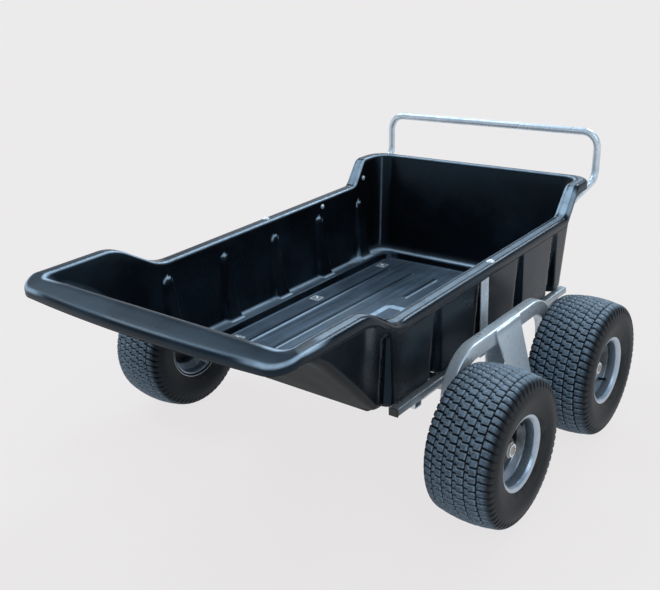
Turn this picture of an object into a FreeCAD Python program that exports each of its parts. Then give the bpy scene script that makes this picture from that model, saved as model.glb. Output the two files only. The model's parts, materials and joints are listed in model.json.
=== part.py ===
"""A tipping four-wheel trailer for an all-terrain vehicle.

+X points forward to the hitch, +Y to the left, +Z up. The origin lies on the ground under the
middle of the trailer's length. Millimetres. A moulded tub on two rails tips back over a
hinge behind the axle. Each side has a pair of wheels on an arched beam, whose bracket sits on
a spindle at the end of the cross axle. A drawbar with a drop leg reaches forward.
"""
import FreeCAD, Part
import os
import math
import Sketcher

Vector = FreeCAD.Vector

# Driving dimensions: alias, value in millimetres or degrees, what it is.
SIZES = [
    ("tyre_radius", 228.6, "outer radius of the tyre"),
    ("tyre_half_width", 108, "half the section width of the tyre"),
    ("tread_half_width", 90, "half the width of the tread band"),
    ("tread_crown", 12, "rise of the tread band at its middle"),
    ("shoulder_bulge", 6, "how far the tyre's shoulders bulge"),
    ("tyre_wall", 12, "thickness of the tyre's carcass"),
    ("bead_radius", 101, "radius at which the tyre sits on the rim"),
    ("bead_fit", 0.3, "radial clearance between the rim's seats and the tyre's beads"),
    ("bead_gap", 1, "clearance between the tyre's beads and the rim's flanges"),
    ("bead_rise", 2, "how far the tyre's beads rise above the rim's flanges"),
    ("rim_half_width", 92, "half the width of the wheel rim over its flanges"),
    ("flange_radius", 113, "outer radius of the rim flanges"),
    ("well_radius", 78, "outer radius of the rim's drop centre"),
    ("well_half", 38.6, "half the width of the rim's drop centre"),
    ("seat_start", 50.6, "inner end of a bead seat from the rim's middle"),
    ("rim_steel", 4, "thickness of the rim's steel"),
    ("disc_offset", 6, "distance of the wheel disc outboard of the tyre's middle"),
    ("hub_radius", 32, "radius of the hub barrel"),
    ("hub_fit", 0.3, "radial clearance between the hub barrel and the wheel disc"),
    ("hub_outboard", 50, "reach of the hub barrel outboard of the tyre's middle"),
    ("hub_inboard", 80, "reach of the hub barrel inboard of the tyre's middle"),
    ("hub_flange_radius", 62, "radius of the hub's bolting flange"),
    ("hub_flange", 8, "thickness of the hub's bolting flange"),
    ("stub_radius", 12.5, "radius of a stub axle"),
    ("shoulder_radius", 18, "radius of a stub axle's shoulder"),
    ("collar_radius", 30, "radius of a stub axle's collar on the beam"),
    ("axle_collar", 8, "thickness of a stub axle's collar"),
    ("nut_radius", 19, "radius of the nut on a stub axle"),
    ("nut_thick", 12, "thickness of the nuts on the stub axles and spindles"),
    ("running_gap", 0.1, "radial clearance of a running fit"),
    ("face_gap", 0.4, "clearance between faces of pieces that move"),
    ("wheel_base", 612, "distance between the two wheel centres of one side"),
    ("half_track", 648, "distance of a wheel's middle from the centre line"),
    ("beam_face", 528, "outer face of the arched beam from the centre line"),
    ("beam_wide", 40, "width of the arched beam's tube"),
    ("beam_deep", 50, "depth of the arched beam's tube"),
    ("beam_wall", 4, "wall of the arched beam's tube"),
    ("beam_top", 465, "height of the arched beam's top face"),
    ("beam_bend", 120, "radius of the arched beam's bends at the middle of the tube"),
    ("beam_foot", 196, "height of the arched beam's lower ends"),
    ("spindle_height", 215, "height of the bogie spindle"),
    ("spindle_radius", 19, "radius of the bogie spindle"),
    ("spindle_flange_radius", 25, "radius of the bogie spindle's flange and nut"),
    ("sleeve_wall", 10, "wall of the bracket's sleeve on the spindle"),
    ("plate_thick", 6, "thickness of bracket plates"),
    ("bracket_top_half", 78, "half width of the bogie bracket at its top"),
    ("bracket_step", 3, "how far the bracket's outer plate ends below the beam's top"),
    ("bracket_lap", 12, "upright lap of the bracket's outer plate on the beam's face"),
    ("bracket_foot_half", 44, "half width of the bogie bracket at its foot"),
    ("bracket_splay", 72, "how far the bracket's outer plate leans outwards"),
    ("axle_box", 50, "side of the cross axle's square tube"),
    ("axle_wall", 4, "wall of the cross axle and drawbar tubes"),
    ("bar_box", 50, "side of the drawbar's square tube"),
    ("hitch_reach", 1490, "furthest point of the hitch tongue ahead of the axle"),
    ("hitch_overhang", 95, "reach of the hitch tongue past the drawbar's front end"),
    ("hitch_bore", 10, "radius of the hitch tongue's pin hole"),
    ("hitch_plate", 16, "thickness of the hitch tongue"),
    ("hitch_half_width", 32, "half width of the hitch tongue's eye"),
    ("hitch_lap", 110, "length of the hitch tongue on the drawbar"),
    ("brace_side", 30, "side of the drawbar's braces"),
    ("brace_spread", 380, "distance of a brace's rear end from the centre line"),
    ("brace_reach", 440, "where a brace meets the drawbar, ahead of the axle"),
    ("hinge_behind", 200, "distance of the tipping hinge behind the axle"),
    ("hinge_height", 272, "height of the tipping hinge"),
    ("hinge_spread", 300, "distance of a hinge lug from the centre line"),
    ("hinge_pin_radius", 10, "radius of the tipping hinge's pins"),
    ("hinge_eye_radius", 19, "radius of the ends of the hinge plates"),
    ("hinge_beam_side", 40, "side of the hinge beam's square tube"),
    ("hinge_beam_end", 30, "reach of the hinge beam past its lugs' middles"),
    ("strut_wide", 30, "width of the struts from the cross axle to the hinge beam"),
    ("pin_head", 5, "rise and thickness of the heads of the hinge pins"),
    ("lug_thick", 12, "thickness of a hinge lug"),
    ("eye_thick", 8, "thickness of a hinge eye plate"),
    ("rail_face", 440, "outer face of the bed rails from the centre line"),
    ("rail_wide", 30, "width of a bed rail"),
    ("rail_deep", 24, "depth of a bed rail"),
    ("rail_wall", 2.5, "wall of the bed's tubes"),
    ("rail_rear", 470, "rear end of the bed rails behind the axle"),
    ("rail_front", 640, "front end of the bed rails ahead of the axle"),
    ("cap_thick", 4, "thickness of a rail's end cap"),
    ("cross_wide", 40, "width of the bed's cross members"),
    ("cross_deep", 30, "depth of the bed's cross members"),
    ("front_cross", 560, "front cross member ahead of the axle"),
    ("middle_cross", 260, "middle cross member ahead of the axle"),
    ("strap_wide", 45, "width of a strap"),
    ("strap_thick", 5, "thickness of a strap"),
    ("strap_ahead", 8, "middle of the straps ahead of the axle"),
    ("strap_lap", 32, "length of a strap's lap under the rim"),
    ("strap_gap", 1, "clearance between a strap's lap and the rim"),
    ("tub_wall", 5, "wall of the tub"),
    ("ledge_height", 356, "height of the tub's ledge, inside"),
    ("panel_drop", 24, "how far the floor panel lies below the ledge"),
    ("ledge_half", 419, "half the inside width of the tub at its ledge"),
    ("panel_half", 357, "half the width of the floor panel"),
    ("side_draft", 2.3, "draft of the side walls in degrees"),
    ("front_draft", 7.8, "rake of the front wall in degrees"),
    ("ledge_front", 655, "inside of the front wall at the ledge, ahead of the axle"),
    ("panel_front", 632, "front end of the floor panel ahead of the axle"),
    ("knee_behind", 500, "where the floor turns up, behind the axle"),
    ("slope_angle", 45, "slope of the rear floor in degrees"),
    ("knee_bend", 60, "radius where the floor turns up"),
    ("slope_turn_height", 601, "height at which the rear slope eases, at its underside"),
    ("lip_slope_angle", 35, "slope of the rear floor below the lip in degrees"),
    ("slope_turn_bend", 150, "radius where the rear slope eases"),
    ("corner_bend", 60, "inside radius of the tub's front corners"),
    ("lip_reach", 1012, "rear edge of the lip behind the axle"),
    ("lip_bow", 17, "how far the middle of the lip stands behind its corners"),
    ("lip_bow_bend", 2000, "radius of the lip's edge at its middle"),
    ("lip_height", 700, "top of the lip's edge"),
    ("lip_inner", 938, "crest of the lip behind the axle, where the slope meets it"),
    ("lip_crest", 724, "height of the lip's crest"),
    ("lip_crest_bend", 40, "radius of the lip's crest"),
    ("hump_behind", 668, "crest of the rim behind the axle"),
    ("hump_height", 726, "height of the rim's crest"),
    ("dip_behind", 528, "dip of the rim behind the axle"),
    ("dip_height", 638, "height of the rim's dip"),
    ("wave_bend", 150, "radius of the rim's wave"),
    ("step_foot", 520, "foot of the rim's step ahead of the axle"),
    ("step_foot_height", 655, "height of the rim at the foot of the step"),
    ("step_top", 592, "top of the rim's step ahead of the axle"),
    ("front_height", 753, "height of the rim at the front"),
    ("step_bend", 42, "radius of the rim's step"),
    ("rim_half", 482, "half the width of the tub over its rim"),
    ("lip_half", 508, "half the width of the tub over its lip"),
    ("rim_front", 733, "front edge of the rim ahead of the axle"),
    ("rim_corner", 72, "radius of the rim's corners in plan"),
    ("flare_bend", 200, "radius where the rim flares out"),
    ("flare_lead", 60, "start of the rim's flare ahead of the rim's dip"),
    ("flare_run_out", 20, "end of the rim's flare ahead of the rim's crest"),
    ("wall_flare_behind", 548, "start of the side walls' flare behind the axle"),
    ("skirt_deep", 30, "depth of the rim's skirt"),
    ("rib_pitch", 260, "distance between the wall ribs"),
    ("rib_middle", 10, "middle rib ahead of the axle"),
    ("rib_root", 40, "depth of the ribs' roots below the ledge"),
    ("rib_foot_half", 36, "half width of a rib at its root"),
    ("rib_head_half", 24, "half width of a rib at its head"),
    ("rib_foot_deep", 25, "depth of a rib at its root"),
    ("rib_head_deep", 8, "depth of a rib at its head"),
    ("rib_height", 244, "height of a rib above the ledge"),
    ("rib_cap", 18, "height of the slope on top of a rib"),
    ("bead_wide", 14, "width of the floor's beads"),
    ("bead_high", 4, "height of the floor's beads"),
    ("bead_front", 493, "front end of the floor's beads ahead of the axle"),
    ("bead_lead", 60, "rear end of the long beads ahead of the floor's turn"),
    ("bead_inner", 40, "distance of the short beads from the centre line"),
    ("bead_pitch", 115.7, "distance between neighbouring beads"),
    ("bead_short_gap", 88, "rear end of the short beads ahead of the floor's recess"),
    ("recess_front", 188, "front of the floor's recess ahead of the axle"),
    ("recess_rear", 60, "rear of the floor's recess behind the axle"),
    ("recess_half", 48, "half width of the floor's recess"),
    ("recess_deep", 8, "depth of the floor's recess"),
    ("tube_radius", 13.5, "radius of the push handle's tube"),
    ("tube_wall", 2.5, "wall of the push handle's tube"),
    ("boss_radius", 9, "radius of the push handle's bolting bosses"),
    ("boss_gap", 0.7, "clearance between a handle boss and the tub's leaning wall"),
    ("handle_half", 452, "distance of the handle's legs from the centre line"),
    ("handle_tail", 250, "rear end of the handle's legs ahead of the axle"),
    ("handle_ahead", 822, "the handle's bar ahead of the axle"),
    ("handle_height", 893, "height of the handle's bar"),
    ("handle_bend", 58, "radius of the handle's bends"),
    ("handle_front_bend", 46.4, "radius of the handle's bends ahead of the front wall"),
    ("handle_gap", 9, "clearance between the handle's legs and the rim above them"),
    ("handle_step", 10, "lag of the handle's bends behind the rim's step"),
    ("handle_step_drop", 69, "depth of the handle below the front rim at the step"),
    ("handle_front_drop", 30, "depth of the handle below the front rim, ahead of the wall"),
    ("handle_lean", 8, "how far the handle's uprights lean forward"),
    ("boss_inset", 50, "rear boss ahead of the handle's tail"),
    ("boss_lag", 14, "front boss behind the top of the rim's step"),
    ("boss_drop", 75, "depth of the front boss below the front rim"),
    ("stand_behind", 310, "pivot of the drop leg behind the hitch tongue's end"),
    ("stand_tube_radius", 19, "radius of the drop leg's tube"),
    ("stand_wall", 3, "wall of the drop leg's tube"),
    ("stand_above", 26, "reach of the drop leg above its pin"),
    ("stand_solid_top", 40, "depth of the drop leg's solid head below its pin"),
    ("stand_thick", 8, "thickness of the drop leg's bracket"),
    ("stand_bracket_half", 30, "half the length of the drop leg's bracket"),
    ("stand_pin_radius", 8, "radius of the drop leg's pin"),
    ("foot_half", 34, "half the side of the drop leg's foot plate"),
    ("foot_thick", 6, "thickness of the drop leg's foot plate"),
    ("tongue_wide", 24, "width of the bed's guide tongue"),
    ("tongue_deep", 30, "depth of the bed's guide tongue"),
    ("tongue_thick", 8, "thickness of the bed's guide tongue"),
    ("keeper_deep", 40, "height of the tongue's keeper"),
    ("latch_gap", 5.5, "clearance of the bed's tongue in its keeper"),
    ("pad_wide", 40, "width of the bed's rest pad"),
    ("pad_gap", 0.5, "clearance between the bed and its rest pad"),
]

# Lengths and heights that follow from the sizes, as expressions of the sheet.
AXLE_END = "(sizes.beam_face - sizes.beam_wide - sizes.plate_thick - sizes.face_gap)"
AXLE_X = "(sizes.lip_reach - sizes.hitch_reach) / 2"
RAIL_TOP = "(sizes.ledge_height - sizes.tub_wall)"
RAIL_FOOT = "(sizes.ledge_height - sizes.tub_wall - sizes.rail_deep)"
CROSS_FOOT = "(sizes.ledge_height - sizes.tub_wall - sizes.rail_deep - sizes.cross_deep)"
BAR_FOOT = "(sizes.spindle_height + sizes.axle_box / 2)"
BAR_TOP = "(sizes.spindle_height + sizes.axle_box / 2 + sizes.bar_box)"
BAR_FRONT = "(sizes.hitch_reach - sizes.hitch_overhang)"
BAR_MIDDLE = "(sizes.spindle_height + sizes.axle_box / 2 + sizes.bar_box / 2)"

SIDES = (("right", -1), ("left", 1))
ENDS = (("rear", -1), ("front", 1))

doc = FreeCAD.newDocument("trailer")


def make_sheet():
    """The spreadsheet that holds every driving dimension."""
    table = doc.addObject("Spreadsheet::Sheet", "sizes")
    for row, (alias, value, note) in enumerate(SIZES, start=1):
        table.set(f"A{row}", note)
        table.set(f"B{row}", str(value))
        table.setAlias(f"B{row}", alias)
    doc.recompute()
    return table


sheet = make_sheet()


def value(expression):
    """The present value of an expression of the sheet, as a plain number."""
    result = sheet.evalExpression(str(expression))
    return float(getattr(result, "Value", result))


# ---------------------------------------------------------------- sketches and bodies

def origin_feature(body, role):
    return next(item for item in body.Origin.OriginFeatures if item.Role == role)


def new_sketch(body, name, plane):
    """An empty sketch on one of the body's own planes."""
    sketch = body.newObject("Sketcher::SketchObject", name)
    sketch.AttachmentSupport = [(origin_feature(body, plane), "")]
    sketch.MapMode = "FlatFace"
    return sketch


def pin_point(sketch, index, end, point):
    """Hold one end of a sketch line or arc at a pair of expressions."""
    for kind, expression in zip(("DistanceX", "DistanceY"), point):
        number = sketch.addConstraint(
            Sketcher.Constraint(kind, -1, 1, index, end, value(expression)))
        sketch.setExpression(f"Constraints[{number}]", str(expression))


def arc_centre(point, onward):
    """The centre of the arc from one loop point to the next, as two expressions."""
    along = f"(({onward[0]}) - ({point[0]}))"
    up = f"(({onward[1]}) - ({point[1]}))"
    square = f"({along} * {along} + {up} * {up})"
    bulge = f"({point[2]})"
    share = f"({bulge} * {bulge} - {square} / 4) / (2 * {bulge} * sqrt({square}))"
    return (f"(({point[0]}) + ({onward[0]})) / 2 - {up} * {share}",
            f"(({point[1]}) + ({onward[1]})) / 2 + {along} * {share}")


def draw_loop(sketch, points):
    """A closed loop. Each point is (u, v) or (u, v, bulge): with a bulge, the way to the next
    point is an arc whose middle stands off the chord to the left by that much."""
    ends = []
    for number, point in enumerate(points):
        onward = points[(number + 1) % len(points)]
        here = Vector(value(point[0]), value(point[1]), 0)
        there = Vector(value(onward[0]), value(onward[1]), 0)
        if len(point) == 2:
            index = sketch.addGeometry(Part.LineSegment(here, there), False)
            ends.append((index, 1))
            continue
        chord = there - here
        left = Vector(-chord.y, chord.x, 0).normalize()
        crest = (here + there) * 0.5 + left * value(point[2])
        index = sketch.addGeometry(Part.Arc(here, crest, there), False)
        starts_here = sketch.getPoint(index, 1).distanceToPoint(here) < 1e-6
        ends.append((index, 1 if starts_here else 2))
        axis = 0 if abs(chord.y) > abs(chord.x) else 1
        centre = arc_centre(point, onward)[axis]
        kind = ("DistanceX", "DistanceY")[axis]
        held = sketch.addConstraint(Sketcher.Constraint(kind, -1, 1, index, 3, value(centre)))
        sketch.setExpression(f"Constraints[{held}]", centre)
    for number, (index, end) in enumerate(ends):
        before, before_end = ends[number - 1]
        sketch.addConstraint(Sketcher.Constraint(
            "Coincident", before, 3 - before_end, index, end))
        pin_point(sketch, index, end, points[number][:2])


def draw_circle(sketch, centre, radius):
    spot = Vector(value(centre[0]), value(centre[1]), 0)
    circle = Part.Circle(spot, Vector(0, 0, 1), value(radius))
    index = sketch.addGeometry(circle, False)
    pin_point(sketch, index, 3, centre)
    number = sketch.addConstraint(Sketcher.Constraint("Radius", index, value(radius)))
    sketch.setExpression(f"Constraints[{number}]", str(radius))


def new_body(label):
    body = doc.addObject("PartDesign::Body", label)
    body.Label = label
    return body


def padded(label, plane, loops, length, circles=()):
    """A plate or tube: its outline, drawn on a plane, padded half each way."""
    body = new_body(label)
    sketch = new_sketch(body, label + "_outline", plane)
    for loop in loops:
        draw_loop(sketch, loop)
    for centre, radius in circles:
        draw_circle(sketch, centre, radius)
    pad = body.newObject("PartDesign::Pad", label + "_pad")
    pad.Profile = sketch
    pad.SideType = "Symmetric"
    pad.setExpression("Length", str(length))
    body.Tip = pad
    return body


def turned(label, points):
    """A round piece about the Y direction: points are (along Y, radius)."""
    body = new_body(label)
    sketch = new_sketch(body, label + "_half", "YZ_Plane")
    draw_loop(sketch, points)
    turn = body.newObject("PartDesign::Revolution", label + "_turn")
    turn.Profile = sketch
    turn.ReferenceAxis = (sketch, ["H_Axis"])
    turn.Angle = 360
    body.Tip = turn
    return body


def place(piece, ahead="0", left="0", up="0", half_turn=False):
    """Put a piece at a distance ahead of the axle, left of the centre line and above ground."""
    if half_turn:
        piece.Placement = FreeCAD.Placement(Vector(), FreeCAD.Rotation(Vector(0, 0, 1), 180))
    piece.setExpression("Placement.Base.x", f"{AXLE_X} + ({ahead})")
    piece.setExpression("Placement.Base.y", str(left))
    piece.setExpression("Placement.Base.z", str(up))
    return piece


def gathered(label, pieces):
    """Like pieces of one body as one named node, each still a solid of its own."""
    group = doc.addObject("Part::Compound", label)
    group.Label = label
    group.Links = pieces
    return group


def rectangle(left, bottom, right, top):
    return [(left, bottom), (right, bottom), (right, top), (left, top)]


def tube_section(half_wide, half_deep, wall):
    """Outer and inner loops of a rectangular tube about its middle."""
    outer = rectangle(f"-({half_wide})", f"-({half_deep})", half_wide, half_deep)
    inner = rectangle(f"{wall} - ({half_wide})", f"{wall} - ({half_deep})",
                      f"{half_wide} - {wall}", f"{half_deep} - {wall}")
    return [outer, inner]


# ---------------------------------------------------------------- wheels

def make_tyre(label):
    """A turf tyre: crowned tread band, round shoulders and bulging walls, hollow inside."""
    edge = "(sizes.tyre_radius - sizes.tread_crown)"
    bulge_radius = "((sizes.bead_radius + sizes.tyre_radius) / 2)"
    inner = "(sizes.tyre_radius - sizes.tread_crown - sizes.tyre_wall)"
    seat = "(sizes.rim_half_width - sizes.rim_steel - sizes.bead_gap)"
    shoulder = "sizes.flange_radius + sizes.bead_rise"
    wall = "sizes.tyre_wall"
    return turned(label, [
        (f"-{seat}", "sizes.bead_radius"),
        (f"-{seat}", shoulder),
        ("-sizes.tyre_half_width", bulge_radius, "sizes.shoulder_bulge"),
        ("-sizes.tread_half_width", edge, "sizes.tread_crown"),
        ("sizes.tread_half_width", edge, "sizes.shoulder_bulge"),
        ("sizes.tyre_half_width", bulge_radius),
        (seat, shoulder),
        (seat, "sizes.bead_radius"),
        (f"{seat} - {wall}", "sizes.bead_radius"),
        (f"sizes.tyre_half_width - {wall}", bulge_radius),
        (f"sizes.tread_half_width - {wall}", inner),
        (f"{wall} - sizes.tread_half_width", inner),
        (f"{wall} - sizes.tyre_half_width", bulge_radius),
        (f"{wall} - {seat}", "sizes.bead_radius"),
    ])


def make_rim(label):
    """A steel wheel rim with a drop centre and a disc set off towards the outside (-Y)."""
    steel = "sizes.rim_steel"
    half = "sizes.rim_half_width"
    seat = "(sizes.bead_radius - sizes.bead_fit)"
    well = "sizes.well_radius"
    disc = "-sizes.disc_offset"
    bore = "(sizes.hub_radius + sizes.hub_fit)"
    well_half = "sizes.well_half"
    start = "sizes.seat_start"
    return turned(label, [
        (f"-{half}", "sizes.flange_radius"),
        (f"{steel} - {half}", "sizes.flange_radius"),
        (f"{steel} - {half}", seat),
        (f"-{start}", seat),
        (f"-{well_half}", well),
        (well_half, well),
        (start, seat),
        (f"{half} - {steel}", seat),
        (f"{half} - {steel}", "sizes.flange_radius"),
        (half, "sizes.flange_radius"),
        (half, f"{seat} - {steel}"),
        (f"{start} + {steel} / 2", f"{seat} - {steel}"),
        (f"{well_half} + {steel} / 2", f"{well} - {steel}"),
        (disc, f"{well} - {steel}"),
        (disc, bore),
        (f"{disc} - {steel}", bore),
        (f"{disc} - {steel}", f"{well} - {steel}"),
        (f"-{well_half} - {steel} / 2", f"{well} - {steel}"),
        (f"-{start} - {steel} / 2", f"{seat} - {steel}"),
        (f"-{half}", f"{seat} - {steel}"),
    ])


def make_hub(label):
    """The hub: a barrel on the stub axle with a flange behind the wheel disc."""
    behind = "-sizes.disc_offset"
    flange_back = "(sizes.hub_flange - sizes.disc_offset)"
    bore = "sizes.stub_radius + sizes.running_gap"
    return turned(label, [
        ("-sizes.hub_outboard", bore),
        ("sizes.hub_inboard", bore),
        ("sizes.hub_inboard", "sizes.hub_radius"),
        (flange_back, "sizes.hub_radius"),
        (flange_back, "sizes.hub_flange_radius"),
        (behind, "sizes.hub_flange_radius"),
        (behind, "sizes.hub_radius"),
        ("-sizes.hub_outboard", "sizes.hub_radius"),
    ])


def make_stub_axle(label):
    """A stub axle: collar on the beam's foot, shoulder, shaft in the hub and end nut (-Y)."""
    inner = "(sizes.half_track - sizes.beam_face)"
    collar = f"({inner} - sizes.axle_collar)"
    shoulder = "(sizes.hub_inboard + sizes.face_gap)"
    nut = "-(sizes.hub_outboard + sizes.face_gap)"
    return turned(label, [
        (inner, "0"),
        (inner, "sizes.collar_radius"),
        (collar, "sizes.collar_radius"),
        (collar, "sizes.shoulder_radius"),
        (shoulder, "sizes.shoulder_radius"),
        (shoulder, "sizes.stub_radius"),
        (nut, "sizes.stub_radius"),
        (nut, "sizes.nut_radius"),
        (f"{nut} - sizes.nut_thick", "sizes.nut_radius"),
        (f"{nut} - sizes.nut_thick", "0"),
    ])


def make_wheels():
    for side, sign in SIDES:
        axles = []
        for end, way in ENDS:
            name = f"{end}_{side}"
            axle = make_stub_axle(f"stub_axle_{name}")
            axles.append(axle)
            for piece in (make_tyre(f"tyre_{name}"), make_rim(f"wheel_rim_{name}"),
                          make_hub(f"hub_{name}"), axle):
                place(piece, f"{way} * sizes.wheel_base / 2", f"{sign} * sizes.half_track",
                      "sizes.tyre_radius", half_turn=sign > 0)
        gathered(f"stub_axles_{side}", axles)


# ---------------------------------------------------------------- bogies

def make_beam(label):
    """The arched beam: a rectangular tube bent down at both ends to the wheel centres."""
    side = value("sizes.wheel_base / 2")
    bend = value("sizes.beam_bend")
    middle = value("sizes.beam_top - sizes.beam_deep / 2")
    foot = value("sizes.beam_foot")
    path = rounded_wire([(-side, foot), (-side, middle), (side, middle), (side, foot)],
                        [0, bend, bend, 0], in_side_view)
    half_wide = value("sizes.beam_wide / 2")
    half_deep = value("sizes.beam_deep / 2")
    wall = value("sizes.beam_wall")
    outer = swept_box(path, -side, foot, half_deep, half_wide)
    inner = swept_box(path, -side, foot, half_deep - wall, half_wide - wall)
    return feature(label, outer.cut(inner))


def swept_box(path, ahead, up, half_x, half_y):
    """A rectangular bar along a path that starts straight up at (ahead, up)."""
    corners = [Vector(ahead + dx, dy, up) for dx, dy in
               ((-half_x, -half_y), (half_x, -half_y), (half_x, half_y), (-half_x, half_y))]
    section = Part.makePolygon(corners + corners[:1])
    return path.makePipeShell([section], True, False)


def make_bracket(label):
    """The bogie bracket: an upright inner plate, a leaning outer plate and a sleeve between
    them on the spindle. Drawn for the right side, about the axle line."""
    thick = value("sizes.plate_thick")
    outer_face = -value("sizes.beam_face")
    inner_face = outer_face + value("sizes.beam_wide")
    under = value("sizes.beam_top - sizes.beam_deep")
    spindle = value("sizes.spindle_height")
    reach = value("sizes.spindle_radius + sizes.sleeve_wall")
    foot = spindle - reach
    splay = value("sizes.bracket_splay")
    knee = spindle + reach
    crest = value("sizes.beam_top - sizes.bracket_step")
    lap_foot = crest - value("sizes.bracket_lap")
    plates = [
        [(inner_face, under), (inner_face - thick, under), (inner_face - thick, foot),
         (inner_face, foot)],
        [(outer_face, crest), (outer_face - thick, crest), (outer_face - thick, lap_foot),
         (outer_face - splay, knee), (outer_face - splay, foot),
         (outer_face - splay + thick, foot), (outer_face - splay + thick, knee),
         (outer_face, lap_foot)],
    ]
    top_half = value("sizes.bracket_top_half")
    foot_half = value("sizes.bracket_foot_half")
    blank = prism([Vector(-top_half, 0, crest), Vector(top_half, 0, crest),
                   Vector(foot_half, 0, foot), Vector(-foot_half, 0, foot)],
                  Vector(0, outer_face * 2, 0))
    bore = value("sizes.spindle_radius + sizes.running_gap")
    width = abs(outer_face - splay) - abs(inner_face)
    outer_round = Part.makeCylinder(reach, width, Vector(0, inner_face, spindle),
                                    Vector(0, -1, 0))
    hole = Part.makeCylinder(bore, width, Vector(0, inner_face, spindle), Vector(0, -1, 0))
    shape = outer_round
    for outline in plates:
        plate = prism([Vector(-top_half, y, z) for y, z in outline],
                      Vector(2 * top_half, 0, 0))
        shape = shape.fuse(plate.common(blank))
    return feature(label, shape.removeSplitter().cut(hole))


def make_spindle(label):
    """The bogie spindle: a flange on the cross axle's end, a shaft and its retaining nut."""
    flange = "sizes.spindle_flange_radius"
    sleeve_end = "(sizes.beam_face + sizes.bracket_splay + sizes.face_gap)"
    shaft_end = f"({AXLE_END} - {sleeve_end})"
    return turned(label, [
        ("0", "0"),
        ("0", flange),
        ("-sizes.plate_thick", flange),
        ("-sizes.plate_thick", "sizes.spindle_radius"),
        (shaft_end, "sizes.spindle_radius"),
        (shaft_end, flange),
        (f"{shaft_end} - sizes.nut_thick", flange),
        (f"{shaft_end} - sizes.nut_thick", "0"),
    ])


def make_bogies():
    for side, sign in SIDES:
        left = sign > 0
        beam = make_beam(f"bogie_beam_{side}")
        middle = f"{sign} * (sizes.beam_face - sizes.beam_wide / 2)"
        place(beam, "0", middle, "0", half_turn=left)
        place(make_bracket(f"bogie_bracket_{side}"), "0", "0", "0", half_turn=left)
        place(make_spindle(f"bogie_spindle_{side}"), "0", f"{sign} * {AXLE_END}",
              "sizes.spindle_height", half_turn=left)


# ---------------------------------------------------------------- shapes from curves

def in_side_view(ahead, up):
    return Vector(ahead, 0, up)


def in_plan_view(ahead, left):
    return Vector(ahead, left, 0)


def prism(corners, sweep):
    face = Part.Face(Part.makePolygon(list(corners) + [corners[0]]))
    return face.extrude(sweep)


def feature(label, shape):
    piece = doc.addObject("Part::Feature", label)
    piece.Label = label
    piece.Shape = shape
    return piece


def rounded_edges(points, radii, to_space, closed=False):
    """Straight runs joined by tangent arcs: the edges of a path or of a closed outline."""
    spots = [Vector(u, v, 0) for u, v in points]
    count = len(spots)
    arcs = []
    for number, radius in enumerate(radii):
        here = spots[number]
        if not closed and number in (0, count - 1) or radius == 0:
            arcs.append((here, None, here))
            continue
        back = (spots[number - 1] - here).normalize()
        onward = (spots[(number + 1) % count] - here).normalize()
        half_angle = back.getAngle(onward) / 2
        setback = radius / math.tan(half_angle)
        middle = (back + onward).normalize()
        crest = here + middle * (radius / math.sin(half_angle) - radius)
        arcs.append((here + back * setback, crest, here + onward * setback))
    edges = []
    for number, (start, crest, end) in enumerate(arcs):
        if crest is not None:
            turn = [to_space(spot.x, spot.y) for spot in (start, crest, end)]
            edges.append(Part.Arc(*turn).toShape())
        if number == count - 1 and not closed:
            break
        following = arcs[(number + 1) % count][0]
        if end.distanceToPoint(following) > 1e-6:
            edges.append(Part.makeLine(to_space(end.x, end.y),
                                       to_space(following.x, following.y)))
    return edges


def rounded_wire(points, radii, to_space, closed=False):
    return Part.Wire(rounded_edges(points, radii, to_space, closed))


def shifted_line(points, radii, distance):
    """An open path moved to its right by a distance, with the radii of its bends to match."""
    normals = []
    for (u, v), (next_u, next_v) in zip(points, points[1:]):
        length = math.hypot(next_u - u, next_v - v)
        normals.append(((next_v - v) / length, (u - next_u) / length))
    moved = [(points[0][0] + normals[0][0] * distance, points[0][1] + normals[0][1] * distance)]
    new_radii = [0]
    for number in range(1, len(points) - 1):
        (ax, ay), (bx, by) = normals[number - 1], normals[number]
        scale = distance / (1 + ax * bx + ay * by)
        moved.append((points[number][0] + (ax + bx) * scale,
                      points[number][1] + (ay + by) * scale))
        turns_left = ax * by - ay * bx > 0
        new_radii.append(radii[number] + (distance if turns_left else -distance))
    moved.append((points[-1][0] + normals[-1][0] * distance,
                  points[-1][1] + normals[-1][1] * distance))
    return moved, new_radii + [0]


# ---------------------------------------------------------------- tub

# How far blocks that only cut or are cut reach past the tub, and how far they overlap it.
CUT_MARGIN = 60
CUT_LAP = 1


def cut_top():
    """A height clear above every point of the rim."""
    return max(value("sizes.front_height"), value("sizes.hump_height")) + CUT_MARGIN


def cut_foot():
    """A height clear below the tub's floor."""
    return value("sizes.ledge_height - sizes.panel_drop - sizes.recess_deep") - CUT_MARGIN


def rim_line():
    """The rim's top in side view, from behind the lip to ahead of the front wall."""
    margin = CUT_MARGIN
    rise = value("sizes.lip_crest - sizes.lip_height")
    run = value("sizes.lip_reach - sizes.lip_inner")
    points = [
        (-value("sizes.lip_reach") - margin, value("sizes.lip_height") - margin * rise / run),
        (-value("sizes.lip_inner"), value("sizes.lip_crest")),
        (-value("sizes.hump_behind"), value("sizes.hump_height")),
        (-value("sizes.dip_behind"), value("sizes.dip_height")),
        (value("sizes.step_foot"), value("sizes.step_foot_height")),
        (value("sizes.step_top"), value("sizes.front_height")),
        (value("sizes.rim_front") + margin, value("sizes.front_height")),
    ]
    wave = value("sizes.wave_bend")
    step = value("sizes.step_bend")
    return points, [0, value("sizes.lip_crest_bend"), wave, wave, step, step, 0]


def rim_height(ahead):
    """The height of the rim's top at a distance ahead of the axle, its bends left out."""
    points = rim_line()[0]
    for (rear, low), (front, high) in zip(points, points[1:]):
        if rear <= ahead <= front:
            return low + (high - low) * (ahead - rear) / (front - rear)
    raise ValueError(f"the rim does not reach {ahead}")


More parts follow.
